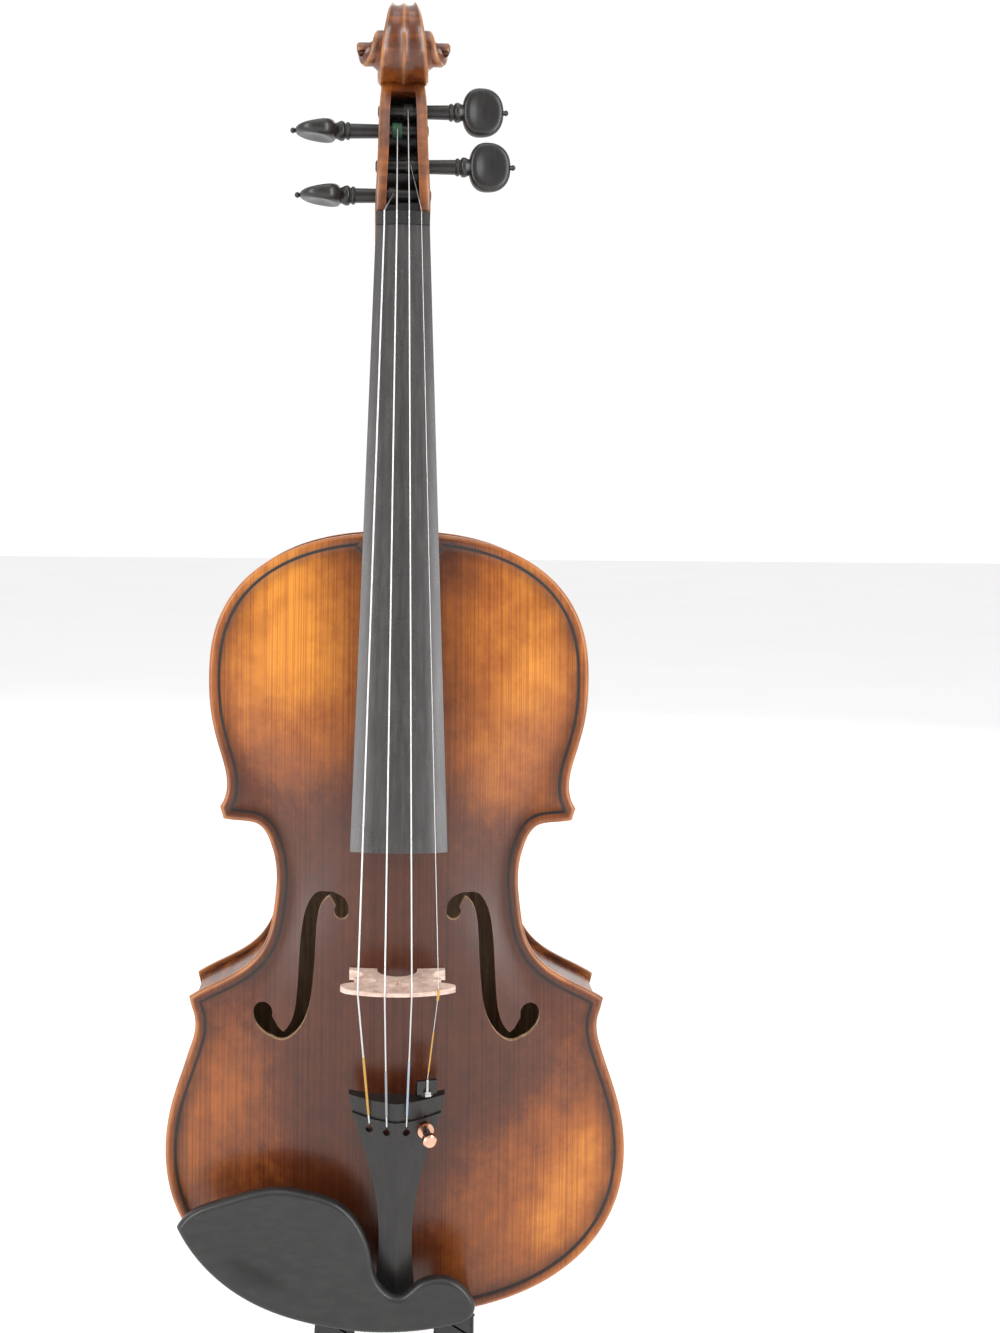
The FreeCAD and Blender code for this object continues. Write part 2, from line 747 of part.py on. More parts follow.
def make_bar_and_post():
    wide, long_, deep = size("bar_width"), size("bar_length"), size("bar_deep")
    top = size("body_length") / 2 - long_ / 2
    level = RIB_TOP + size("top_arch")
    ends = [Vector(0, -size("neck_stop") - top, level), Vector(0, -size("neck_stop") - top - long_, level)]
    middle = Vector(0, -size("neck_stop") - top - long_ / 2, RIB_TOP + size("top_arch") - deep + 3)
    edge_low = [p - UP * (deep - 6) for p in ends]
    belly = Part.Arc(edge_low[0], middle, edge_low[1]).toShape()
    lines = [Part.LineSegment(edge_low[1], ends[1]).toShape(), Part.LineSegment(ends[1], ends[0]).toShape(),
             Part.LineSegment(ends[0], edge_low[0]).toShape()]
    face = Part.Face(Part.Wire([belly] + lines))
    side = -size("bar_across") - wide / 2
    face.translate(Vector(side, 0, 0))
    add_shape("bass_bar", face.extrude(Vector(wide, 0, 0)).common(TOP_IN))
    spot = flat(size("post_across"), size("bridge_stop") + size("post_behind_bridge"))
    post = Part.makeCylinder(size("post_radius"), 80, spot + UP * (BACK_Z - 20))
    add_shape("sound_post", post.common(TOP_IN).common(BACK_IN))


# ---------------------------------------------------------------- neck, pegbox and scroll


def board_point(back, lift=0.0):
    """A point in the middle of the neck: its distance back from the nut, and its lift off the
    gluing plane."""
    return Vector(0, lift * math.sin(PITCH) - back * math.cos(PITCH),
                  back * math.sin(PITCH) + lift * math.cos(PITCH))


def half_round_section(y, level, half, depth):
    """Upright section of the neck shaft: flat top and half-elliptic underside."""
    curve = spline([Vector(half * math.cos(a), y, level - depth * math.sin(a))
                    for a in (math.pi * i / 12 for i in range(13))])
    top = Part.LineSegment(Vector(-half, y, level), Vector(half, y, level)).toShape()
    return Part.Wire([curve.toShape(), top])


def level_at(y):
    return -y * math.tan(PITCH)


def neck_shaft():
    """Shaft from the pegbox to the root, carved to a half-round back."""
    stop = size("neck_stop")
    nut_half, end_half = size("board_width_nut") / 2, size("heel_width") / 2
    sections = []
    for share, y in ((0.0, 6.0), (0.03, -6.0), (0.35, -0.38 * stop), (0.8, -0.80 * stop), (1.0, -stop)):
        half = nut_half + (end_half - nut_half) * share
        depth = size("neck_depth_nut") + (size("neck_depth_heel") - size("neck_depth_nut")) * share
        sections.append(half_round_section(y, level_at(y), half, depth))
    return outward(Part.makeLoft(sections, True, False))


def heel_section(level, half, reach, root):
    """Level section of the heel: parallel sides from the root, then a round front."""
    round_ = min(half, reach)
    start, end = flat(half, root), flat(-half, root)
    right, left = flat(half, -(reach - round_)), flat(-half, -(reach - round_))
    front = spline([flat(half * math.cos(a), -(reach - round_) - round_ * math.sin(a))
                    for a in (math.pi * i / 12 for i in range(13))]).toShape()
    edges = [Part.LineSegment(start, right).toShape(), front, Part.LineSegment(left, end).toShape(),
             Part.LineSegment(end, start).toShape()]
    wire = Part.Wire(edges)
    wire.translate(UP * level)
    return wire


def neck_heel():
    """Heel from the gluing plane down to the button, with its root let into the body."""
    low, high = RIB_LOW, level_at(-size("neck_stop")) - 4
    foot_half = size("button_width") / 2 + size("crown_band")
    foot_reach = size("button_reach") + size("crown_band")
    top_half = size("heel_width") / 2 - 0.6
    root = size("neck_root")
    rows = []
    for share, widen, reach in ((0.0, 0.0, foot_reach), (0.25, 0.12, foot_reach + 0.6),
                                (0.55, 0.42, foot_reach + 4), (0.8, 0.8, foot_reach + 14),
                                (1.0, 1.0, foot_reach + 27)):
        rows.append(heel_section(low + (high - low) * share, foot_half + (top_half - foot_half) * widen,
                                 reach, root))
    return outward(Part.makeLoft(rows, True, False))


def root_block():
    """Square root of the neck above the heel, let into the body up to the gluing plane."""
    half = size("heel_width") / 2 - 0.6
    low = level_at(-size("neck_stop")) - 8
    back = size("neck_stop") + size("neck_root")
    front = 4 - size("neck_stop")
    side = [Vector(0, front, low), Vector(0, -back, low), Vector(0, -back, level_at(-back)),
            Vector(0, front, level_at(front))]
    face = Part.Face(polygon([p + Vector(-half, 0, 0) for p in side]))
    return face.extrude(Vector(2 * half, 0, 0))


def spiral_radius(turn):
    """Radius of the scroll's edge; turn is in quarter turns from the top, towards the front."""
    return size("scroll_radius") * 0.815 ** turn


def eye_place():
    return Vector(0, size("scroll_eye_up"), -size("scroll_eye_back"))


def spiral_point(turn):
    angle = turn * math.pi / 2
    return eye_place() + Vector(0, math.cos(angle), math.sin(angle)) * spiral_radius(turn)


SPIRAL_STEP = 1 / 6
TOP_SHARE = 0.27


def spiral_slab(start, near, far):
    """One full turn of the scroll from a start in quarter turns, between two distances out to
    each side of the middle plane."""
    steps = round(4 / SPIRAL_STEP)
    face = Part.Face(polygon([spiral_point(start + SPIRAL_STEP * i) for i in range(steps + 1)]))
    right = face.copy()
    right.translate(Vector(near, 0, 0))
    right = right.extrude(Vector(far - near, 0, 0))
    return right.fuse(mirror_solid(right)) if near == 0 else Part.makeCompound([right, mirror_solid(right)])


def scroll_turns():
    """The scroll as a stack of turns, each narrower in the spiral and further out."""
    full = size("scroll_width") / 2
    slabs, near = [], 0.0
    for start, share in ((0, TOP_SHARE), (4, 0.38), (8, 0.48), (13, 0.57), (19, 0.63), (24, 0.70), (29, 0.78),
                         (35, 0.87)):
        slabs.append(spiral_slab(start * SPIRAL_STEP, near, full * share))
        near = full * share
    eye = Part.makeCylinder(spiral_radius(6.6), 2 * full, eye_place() - Vector(full, 0, 0), Vector(1, 0, 0))
    return slabs + [eye]


def pegbox_back():
    """Back line of pegbox and scroll, from the neck to the top of the scroll."""
    eye = eye_place()
    radius = size("scroll_radius")
    long_ = size("pegbox_length")
    return [Vector(0, -8.0, -12.2), Vector(0, -3.0, -17.5), Vector(0, 0.18 * long_, -24.5),
            Vector(0, 0.44 * long_, -29.5), Vector(0, 0.74 * long_, -35.0),
            eye + Vector(0, -0.75 * radius, -0.87 * radius), eye + Vector(0, 0, -1.07 * radius),
            eye + Vector(0, 0.66 * radius, -0.79 * radius), eye + Vector(0, radius, 0)]


def cheek_line(up):
    """Level of the front edge of the cheeks."""
    return 2.5 - 0.30 * (up - 8.0)


def widths_prism(stations):
    """Prism along z whose half width follows stations of (up, half)."""
    right = [Vector(half, up, 0) for up, half in stations]
    left = mirrored(right)[::-1]
    edges = [spline(right).toShape(), Part.LineSegment(right[-1], left[0]).toShape(),
             spline(left).toShape(), Part.LineSegment(left[-1], right[0]).toShape()]
    return prism(Part.Wire(edges), -80, 40)


def pegbox_solid():
    long_ = size("pegbox_length")
    back = pegbox_back()
    nut = size("nut_length")
    curve = spline(back).toShape()
    front = [back[-1], eye_place(), Vector(0, long_, cheek_line(long_)),
             Vector(0, nut + 2, cheek_line(nut + 2)), Vector(0, nut, level_at(nut)),
             Vector(0, back[0].y, level_at(back[0].y)), back[0]]
    edges = [curve] + [Part.LineSegment(a, b).toShape() for a, b in zip(front, front[1:])]
    face = Part.Face(Part.Wire(edges))
    face.translate(Vector(-40, 0, 0))
    side = face.extrude(Vector(80, 0, 0))
    low, top = size("pegbox_width_nut") / 2, size("pegbox_width_top") / 2
    eye_up, radius = size("scroll_eye_up"), size("scroll_radius")
    plan = widths_prism([(-8.1, low - 0.7), (0.0, low - 0.1), (10.0, low),
                         (long_ * 0.5, (low + top) / 2 + 0.2), (long_, top), (eye_up, top * 0.72),
                         (eye_up + radius + 0.1, TOP_SHARE * size("scroll_width") / 2)])
    return side.common(plan)


def pegbox_cavity():
    long_, nut = size("pegbox_length"), size("nut_length")
    back = pegbox_back()
    wall = Vector(0, 0, size("cheek_wall"))
    floor = [Vector(0, nut, -10.0), back[2] + wall + Vector(0, 2, 0), back[3] + wall, back[4] + wall,
             Vector(0, long_ - 3.2, back[4].z + size("cheek_wall") - 1)]
    rim = [Vector(0, long_ - 3.2, 20), Vector(0, nut, 20)]
    face = Part.Face(polygon(floor + rim))
    face.translate(Vector(-40, 0, 0))
    low, top = size("pegbox_width_nut") / 2, size("pegbox_width_top") / 2
    wall_x = size("cheek_wall")
    plan = widths_prism([(nut - 1, low - wall_x), (long_ * 0.5, (low + top) / 2 - wall_x + 0.1),
                         (long_ - 2, top - wall_x)])
    return face.extrude(Vector(80, 0, 0)).common(plan)


PEG_UP = {"g": 16.4, "e": 30.8, "d": 48.3, "a": 58.1}
PEG_SIDE = {"g": -1, "d": -1, "e": 1, "a": 1}
PEG_STAND = {"g": 28.4, "d": 31.2, "e": 31.0, "a": 28.2}
PEG_DEEP = 10.0


def peg_place(string):
    up = PEG_UP[string]
    return Vector(0, up, cheek_line(up) - PEG_DEEP)


def cheek_half(up):
    low, top = size("pegbox_width_nut") / 2, size("pegbox_width_top") / 2
    return low + (top - low) * up / size("pegbox_length")


def peg_taper_radius(along):
    """Shaft radius at a distance from the middle plane, positive towards the head."""
    return size("peg_radius") + (along - 22.0) / size("peg_taper")


def peg_hole(string):
    side = PEG_SIDE[string]
    reach = 30.0
    clear = size("peg_clearance")
    start = peg_place(string) - Vector(side * reach, 0, 0)
    return Part.makeCone(peg_taper_radius(-reach) + clear, peg_taper_radius(reach) + clear, 2 * reach,
                         start, Vector(side, 0, 0))


def make_neck():
    solid = neck_shaft().multiFuse([neck_heel(), root_block(), pegbox_solid()] + scroll_turns())
    solid = solid.cut([pegbox_cavity()] + [peg_hole(string) for string in STRING_ORDER])
    add_shape("neck", solid)
    return neck_heel().fuse(root_block())


def make_board():
    local = Placement(Vector(0, 0, 0), Rotation(Vector(1, 0, 0), -size("board_pitch")))
    body = add_body("fingerboard", local)
    near = add_sketch(body, "board_nut_end", "XZ_Plane")
    draw_crowned(near, "Sizes.board_width_nut", "Sizes.board_side", "Sizes.board_radius")
    far = add_sketch(body, "board_far_end", "XZ_Plane", "Sizes.board_length")
    draw_crowned(far, "Sizes.board_width_end", "Sizes.board_side", "Sizes.board_radius")
    loft = body.newObject("PartDesign::AdditiveLoft", "board_loft")
    loft.Profile = near
    loft.Sections = [far]
    loft.Ruled = True

    nut = add_body("nut", local)
    face = add_sketch(nut, "nut_end", "XZ_Plane")
    draw_crowned(face, "Sizes.board_width_nut", "Sizes.board_side + Sizes.nut_proud", "Sizes.board_radius")
    pad(nut, face, "Sizes.nut_length", back=True)


# ---------------------------------------------------------------- bridge


def bench_shape(name):
    """A piece's solid in the bench frame, ready to cut its neighbours."""
    return pieces[name].Shape.copy().transformed(BENCH.inverse().toMatrix())


def bridge_top_at(across):
    """Height of the bridge's crown over the belly's middle; the treble side is a little lower."""
    round_ = size("board_radius")
    return size("bridge_height") - round_ + math.sqrt(round_ ** 2 - across ** 2) - 0.02 * across


def make_bridge():
    stop = size("bridge_stop")
    foot = size("bridge_feet") / 2
    tall = size("bridge_height")

    def spot(across, up):
        return Vector(across, 0, up)

    side = [spot(foot, -6), spot(foot, 1.8), spot(foot - 4.5, 4.2), spot(foot - 6.0, 7.5),
            spot(foot - 5.3, 10.6), spot(foot - 2.4, 12.2), spot(foot - 2.6, 13.6), spot(foot - 5.6, 14.4),
            spot(foot - 9.8, 13.2),
            spot(foot - 12.2, 15.8), spot(foot - 10.6, 18.6), spot(foot - 5.0, 18.3), spot(foot + 0.4, 19.4),
            spot(foot + 3.3, 21.6), spot(foot + 3.2, 24.0)]
    crown = [spot(x, bridge_top_at(x)) for x in (22.6, 11.3, 0.0, -11.3, -22.6)]
    other = mirrored(side)[::-1]
    runs = [Part.LineSegment(side[0], side[1]).toShape(), spline(side[1:]).toShape(),
            Part.LineSegment(side[-1], crown[0]).toShape(), spline(crown).toShape(),
            Part.LineSegment(crown[-1], other[0]).toShape(), spline(other[:-1]).toShape(),
            Part.LineSegment(other[-2], other[-1]).toShape()]
    inner = foot - 12.4
    arch = Part.Arc(spot(-inner, 2.0), spot(0, 10.8), spot(inner, 2.0)).toShape()
    runs += [Part.LineSegment(other[-1], spot(-inner, -6)).toShape(),
             Part.LineSegment(spot(-inner, -6), spot(-inner, 2.0)).toShape(), arch,
             Part.LineSegment(spot(inner, 2.0), spot(inner, -6)).toShape(),
             Part.LineSegment(spot(inner, -6), side[0]).toShape()]
    face = Part.Face(Part.Wire(runs))
    thick = size("bridge_foot_thick")
    face.translate(Vector(0, -size("neck_stop") - stop - thick / 2, BELLY_Z))
    plate = face.extrude(Vector(0, thick, 0))

    heart_low = tall * 0.50
    heart = [Part.makeCylinder(2.2, 20, Vector(sign * 2.3, 0, BELLY_Z + heart_low + 5.2), Vector(0, 1, 0))
             for sign in (-1, 1)]
    point = Part.Face(polygon([spot(-4.2, heart_low + 4.2), spot(0, heart_low), spot(4.2, heart_low + 4.2),
                               spot(0, heart_low + 6.5)]))
    point.translate(UP * BELLY_Z)
    heart.append(point.extrude(Vector(0, 20, 0)))
    for cutter in heart:
        cutter.translate(Vector(0, -size("neck_stop") - stop - 10, 0))
    plate = plate.cut(heart)

    top = size("bridge_top_thick")
    wedge = Part.Face(polygon([Vector(-40, -thick / 2, -8), Vector(-40, -thick / 2, 4),
                               Vector(-40, thick / 2 - top, tall + 1), Vector(-40, thick / 2, tall + 1),
                               Vector(-40, thick / 2, -8)]))
    wedge.translate(Vector(0, -size("neck_stop") - stop, BELLY_Z))
    plate = plate.common(wedge.extrude(Vector(80, 0, 0)))
    add_shape("bridge", plate.cut([TOP_OUT] + [bench_shape("string_" + string) for string in STRING_ORDER]))


# ---------------------------------------------------------------- string line


def nut_point(string):
    index = STRING_ORDER.index(string)
    across = size("nut_string_span") * (index / 3 - 0.5)
    round_ = size("board_radius")
    half = size("board_width_nut") / 2
    drop = math.sqrt(round_ ** 2 - half ** 2)
    lift = size("board_side") + size("nut_proud") - drop + math.sqrt(round_ ** 2 - across ** 2)
    point = board_point(0.0, lift + STRING_RADII[string])
    return Vector(across, point.y, point.z)


def bridge_point(string):
    index = STRING_ORDER.index(string)
    across = size("bridge_string_span") * (index / 3 - 0.5)
    lift = bridge_top_at(across) + STRING_RADII[string]
    y = -size("neck_stop") - size("bridge_stop") + (size("bridge_foot_thick") - size("bridge_top_thick")) / 2
    return Vector(across, y, BELLY_Z + lift)


def tail_frame():
    """Place of the tailpiece: its wide end is at zero and its length runs down its own -y."""
    top = place(0, size("tailpiece_down"), 23.0)
    fall = math.degrees(math.atan2(23.0 - 6.4, size("tailpiece_length")))
    return Placement(top, Rotation(Vector(1, 0, 0), fall))


KEYHOLE_ACROSS = {"g": -11.9, "d": -4.3, "a": 4.3, "e": 12.4}
KEYHOLE_DOWN = {"g": 14.6, "d": 15.4, "a": 15.4, "e": 14.4}


def tail_top(across):
    """Level of the tailpiece's ridged top over its own base plane."""
    return 8.0 - 0.20 * abs(across)


def make_tailpiece():
    half, long_ = size("tailpiece_width") / 2, size("tailpiece_length")
    right = [Vector(half, 1.0, 0), Vector(half - 2.4, -9.0, 0), Vector(12.8, -29.0, 0), Vector(8.4, -50.0, 0),
             Vector(7.4, -74.0, 0), Vector(8.8, -long_ + 4, 0)]
    left = mirrored(right)[::-1]
    rim = [spline(right).toShape(), Part.Arc(right[-1], Vector(0, -long_, 0), left[0]).toShape(),
           spline(left).toShape(), Part.Arc(left[-1], Vector(0, -1.4, 0), right[0]).toShape()]
    plan = prism(Part.Wire(rim), -1, 20)

    def ridge(half_width, edge, top):
        face = Part.Face(polygon([Vector(-half_width, 2, 0), Vector(half_width, 2, 0),
                                  Vector(half_width, 2, edge), Vector(0, 2, top),
                                  Vector(-half_width, 2, edge)]))
        return face.extrude(Vector(0, -long_ - 4, 0))

    solid = plan.common(ridge(half + 1, tail_top(half + 1), tail_top(0)))
    wall = size("tailpiece_wall")
    inner = [Vector(half - wall, -wall - 1.4, 0), Vector(12.8 - wall, -29.0, 0), Vector(8.0 - wall, -50.0, 0),
             Vector(7.4 - wall, -long_ + 14, 0)]
    other = mirrored(inner)[::-1]
    hollow = prism(polygon(inner + other), -2, 20)
    solid = solid.cut(hollow.common(ridge(half, tail_top(half) - wall, tail_top(0) - wall)))
    for string in STRING_ORDER:
        across, down = KEYHOLE_ACROSS[string], KEYHOLE_DOWN[string]
        hole = Part.makeCylinder(1.6, 30, Vector(across, -down, -5))
        if string == "e":
            hole = Part.makeCylinder(size("tuner_post_radius"), 30, Vector(0, 0, -15))
            hole.Placement = tuner_lean()
        slot = Part.makeBox(1.0, down - 8.0, 30, Vector(across - 0.5, -down, -5))
        solid = solid.cut([hole, slot])
    spread = size("tailgut_spread") / 2
    holes = [Part.makeCylinder(size("tailgut_radius"), 30, Vector(sign * spread, -long_ - 5, 2.2),
                               Vector(0, 1, 0)) for sign in (-1, 1)]
    solid = solid.cut(holes + [fret_ridge()] + tuner_seat())
    feature = add_shape("tailpiece", solid)
    feature.Placement = BENCH.multiply(tail_frame())
    fret = add_shape("tailpiece_fret", fret_ridge())
    fret.Placement = BENCH.multiply(tail_frame())


def fret_ridge():
    """Curved fret let into the top of the tailpiece, across all four string slots."""
    half = size("tailpiece_width") / 2 - 1.6
    low = 2.0
    path = [Vector(-half, -5.0 - low, 0), Vector(0, -8.0 - low, 0), Vector(half, -5.0 - low, 0)]
    back = [p + Vector(0, -1.5, 0) for p in path]
    edges = [Part.Arc(*path).toShape(), Part.LineSegment(path[-1], back[-1]).toShape(),
             Part.Arc(*back[::-1]).toShape(), Part.LineSegment(back[0], path[0]).toShape()]
    band = prism(Part.Wire(edges), -5, 20)
    profile = Part.Face(polygon([Vector(-half - 2, 2, tail_top(half + 2) - 1.2),
                                 Vector(0, 2, tail_top(0) - 1.2),
                                 Vector(half + 2, 2, tail_top(half + 2) - 1.2),
                                 Vector(half + 2, 2, tail_top(half + 2) + 0.9),
                                 Vector(0, 2, tail_top(0) + 0.9),
                                 Vector(-half - 2, 2, tail_top(half + 2) + 0.9)]))
    return band.common(profile.extrude(Vector(0, -30, 0)))


FRET_BACK = 1.7


def fret_point(string):
    across = KEYHOLE_ACROSS[string]
    half = size("tailpiece_width") / 2 - 1.6
    down = 10.0 - 3.0 * (abs(across) / half) ** 2 + FRET_BACK
    local = Vector(across, -down, tail_top(across) + 0.9 + STRING_RADII[string])
    return tail_frame().multVec(local)


TUNER_LEAN = 11.3


def tuner_lean():
    """Frame of the fine tuner on the tailpiece: z is the screw's axis, y points to the bridge."""
    across = KEYHOLE_ACROSS["e"]
    return Placement(Vector(across, -KEYHOLE_DOWN["e"], tail_top(across)),
                     Rotation(Vector(0, 1, 0), TUNER_LEAN))


FLANGE = (7.6, 12.5)
FLANGE_END = -5.0
FLANGE_TOP = -3.06
FLANGE_LOW = -6.4


def tuner_flange():
    """Block of the fine tuner that seats against the underside of the tailpiece."""
    return Part.makeBox(*FLANGE, FLANGE_TOP - FLANGE_LOW, Vector(-FLANGE[0] / 2, FLANGE_END, FLANGE_LOW))


def tuner_seat():
    """Cuts in the tailpiece: the flange's seat, and a notch in the front wall that the lever swings in."""
    notch = Part.makeBox(6.6, 4.4, 3.0, Vector(-3.3, 10.3, -6.7))
    cuts = [tuner_flange(), notch]
    for cut in cuts:
        cut.Placement = tuner_lean()
    return cuts


def tuner_frame():
    return tail_frame().multiply(tuner_lean())


def tail_hole(string):
    """Where a string comes through its keyhole, on the underside of the tailpiece's top."""
    across = KEYHOLE_ACROSS[string]
    local = Vector(across, -KEYHOLE_DOWN[string] + 0.4, tail_top(across) - 2.0)
    return tail_frame().multVec(local)


WINDING_LONG = 4.4
WINDING_ACROSS = {"g": -4.4, "d": -2.6, "a": 2.4, "e": 3.6}
WINDING_GAP = 0.2


def peg_end(string):
    """Where a string leaves the windings on its peg: on the front of the windings."""
    place_ = peg_place(string)
    lift = size("peg_radius") + 2 * STRING_RADII[string] + WINDING_GAP + STRING_RADII[string]
    return Vector(WINDING_ACROSS[string], place_.y, place_.z + lift)


def nut_back_point(string):
    front = nut_point(string)
    step = board_point(-size("nut_length"), 0.0)
    return Vector(front.x, front.y + step.y, front.z + step.z)


def make_strings():
    for string in STRING_ORDER:
        radius = STRING_RADII[string]
        points = [peg_end(string), nut_back_point(string), nut_point(string), bridge_point(string),
                  fret_point(string), tail_hole(string)]
        if string == "e":
            points = points[:4] + [tuner_frame().multVec(Vector(0, HOOK_FAR + 1.6, HOOK_TOP + 0.7))]
        add_shape("string_" + string, tube_path(points, radius))


def make_windings():
    for string in STRING_ORDER:
        radius = STRING_RADII[string]
        sign = PEG_SIDE[string]
        middle = peg_place(string) + ACROSS * (WINDING_ACROSS[string])
        start = middle - ACROSS * WINDING_LONG / 2
        inner = [peg_taper_radius(sign * (start.x + x)) for x in (0, WINDING_LONG)]
        outer = Part.makeCone(inner[0] + 2 * radius, inner[1] + 2 * radius, WINDING_LONG, start, ACROSS)
        core = Part.makeCone(inner[0], inner[1], WINDING_LONG, start, ACROSS)
        add_shape("winding_" + string, outer.cut(core))


SLEEVE_RADIUS = 0.55
SLEEVE_GAP = 0.06
SLEEVE_AHEAD = 1.5
SLEEVE_BEHIND = 3.6


def make_sleeve():
    """Short sleeve that keeps the thin string from cutting into the bridge."""
    spot = bridge_point("e")
    ahead = (nut_point("e") - spot).normalize()
    behind = (tuner_frame().multVec(Vector(0, HOOK_FAR + 1.6, HOOK_TOP + 0.7)) - spot).normalize()

    def tube(radius, extra):
        ends = (spot + ahead * (SLEEVE_AHEAD + extra), spot + behind * (SLEEVE_BEHIND + extra))
        return tube_path([ends[0], spot, ends[1]], radius)

    sleeve = tube(SLEEVE_RADIUS, 0.0).cut(tube(STRING_RADII["e"] + SLEEVE_GAP, 1.0))
    add_shape("e_string_sleeve", sleeve.cut(bench_shape("bridge")))


# ---------------------------------------------------------------- pegs


def make_pegs():
    """Turned shaft, collar and pip on the x axis of each peg, with a flat oval head."""
    head = "Sizes.peg_head_long"
    for string in STRING_ORDER:
        side, stand = PEG_SIDE[string], PEG_STAND[string]
        turn = Rotation(Vector(0, 0, 1), 0 if side > 0 else 180)
        roll = Rotation(ACROSS, 0 if side > 0 else 90)
        body = add_body("peg_" + string, Placement(peg_place(string), turn.multiply(roll)))
        far = cheek_half(PEG_UP[string]) + 0.4
        sketch = add_sketch(body, "peg_%s_profile" % string, "XY_Plane")
        shaft = "Sizes.peg_radius + (%s - 22) / Sizes.peg_taper"
        collar = "Sizes.peg_collar_radius"
        profile = [(-far, "0"), (-far, shaft % str(-far)), (stand - 6.2, shaft % str(stand - 6.2)),
                   (stand - 5.6, collar + " - 0.4"), (stand - 4.4, collar), (stand - 3.2, collar + " - 0.3"),
                   (stand - 2.7, collar + " - 1.2"), (stand - 2.0, collar + " - 0.2"), (stand - 0.9, collar),
                   (stand + 2.5, collar + " - 1.4"), (stand + 2.5, "0")]
        draw_polygon(sketch, [(str(along), out) for along, out in profile])
        revolve(body, sketch, "H_Axis")
        doc.recompute()
        oval = body.newObject("PartDesign::AdditiveEllipsoid", "peg_%s_head" % string)
        oval.setExpression("Radius1", "Sizes.peg_head_thick / 2")
        oval.setExpression("Radius2", head + " / 2")
        oval.setExpression("Radius3", "Sizes.peg_head_wide / 2")
        oval.Placement = Placement(Vector(stand + size("peg_head_long") / 2 - 0.3, 0, 0), Rotation())
        pip = body.newObject("PartDesign::AdditiveSphere", "peg_%s_pip" % string)
        pip.Radius = 1.4
        pip.Placement = Placement(Vector(stand + size("peg_head_long") + 0.6, 0, 0), Rotation())


# ---------------------------------------------------------------- tail end


def button_level():
    return (RIB_TOP + RIB_LOW) / 2


def body_foot():
    return -size("neck_stop") - size("body_length")


def end_hole():
    reach = size("end_block_deep") + 12
    return Part.makeCylinder(size("end_button_neck"), reach, Vector(0, body_foot() - 5, button_level()),
                             Vector(0, 1, 0))


def saddle_block():
    """Block let into the bottom edge of the top, standing on the ribs and the end block."""
    half, long_ = size("saddle_width") / 2, size("saddle_long")
    foot = body_foot()
    side = [Vector(0, foot + 0.6, RIB_TOP), Vector(0, foot + long_, RIB_TOP),
            Vector(0, foot + long_, EDGE_Z + 1.0),
            Vector(0, foot + long_ - 2.5, EDGE_Z + size("saddle_proud")),
            Vector(0, foot + 2.6, EDGE_Z + size("saddle_proud")), Vector(0, foot + 0.6, EDGE_Z + 2.4)]
    face = Part.Face(polygon([p - ACROSS * half for p in side]))
    return face.extrude(Vector(2 * half, 0, 0))


def make_end_button():
    """Turned button on the tail end; its tapered stem fills the hole through ribs and block."""
    local = Placement(Vector(0, body_foot() + size("edge_overhang"), button_level()),
                      Rotation(Vector(0, 0, 1), 180))
    stem = "Sizes.end_button_neck"
    turned("end_button", local, [
        ("0", "-Sizes.end_block_deep - Sizes.rib_thick"), (stem, "-Sizes.end_block_deep - Sizes.rib_thick"),
        (stem, "0"), ("Sizes.end_button_radius - 1.2", "0"), ("Sizes.end_button_radius - 0.8", "2.2"),
        (stem + " + 0.8", "5.4"), (stem + " + 0.8", "7.4"), ("Sizes.end_button_radius", "8.6"),
        ("Sizes.end_button_radius", "Sizes.end_button_long - 1.6"),
        ("Sizes.end_button_radius - 2.2", "Sizes.end_button_long"), ("0", "Sizes.end_button_long")])


def make_tailgut():
    """One loop: out of the tailpiece, over the saddle and round the neck of the end button."""
    radius, spread = size("tailgut_radius"), size("tailgut_spread") / 2
    tail = tail_frame()
    low = body_foot() + size("edge_overhang") - 6.4
    ring = size("end_button_neck") + 0.8 + radius
    level = button_level()
    solids = []
    for sign in (-1, 1):
        start = tail.multVec(Vector(sign * spread, -size("tailpiece_length") + 9, 2.2))
        leave = tail.multVec(Vector(sign * spread, -size("tailpiece_length") - 0.5, 2.2))
        over = EDGE_Z + size("saddle_proud") + radius
        crest = Vector(sign * spread, body_foot() + size("saddle_long") - 2.5, over)
        edge = Vector(sign * spread, body_foot() + 2.0, over)
        round_ = Vector(sign * ring, low, level)
        drop = Vector(sign * spread * 1.15, low, EDGE_Z - 3)
        solids.append(tube_path([start, leave, crest, edge, drop, round_], radius))
    loop = Part.Face(Part.Wire(Part.makeCircle(radius, Vector(ring, low, level), UP)))
    half_turn = loop.revolve(Vector(0, low, level), Vector(0, 1, 0), 180)
    add_shape("tailgut", outward(solids[0].fuse([solids[1], outward(half_turn)])))
    add_shape("saddle", saddle_block().cut(bench_shape("tailgut")))


# ---------------------------------------------------------------- fine tuner of the thin string

PIVOT = (6.0, -9.5)
SCREW_TIP = -8.2
HOOK_FAR = 24.5
HOOK_TOP = 3.0


def add_tuner_piece(name, shape):
    feature = add_shape(name, shape)
    feature.Placement = BENCH.multiply(tuner_frame())


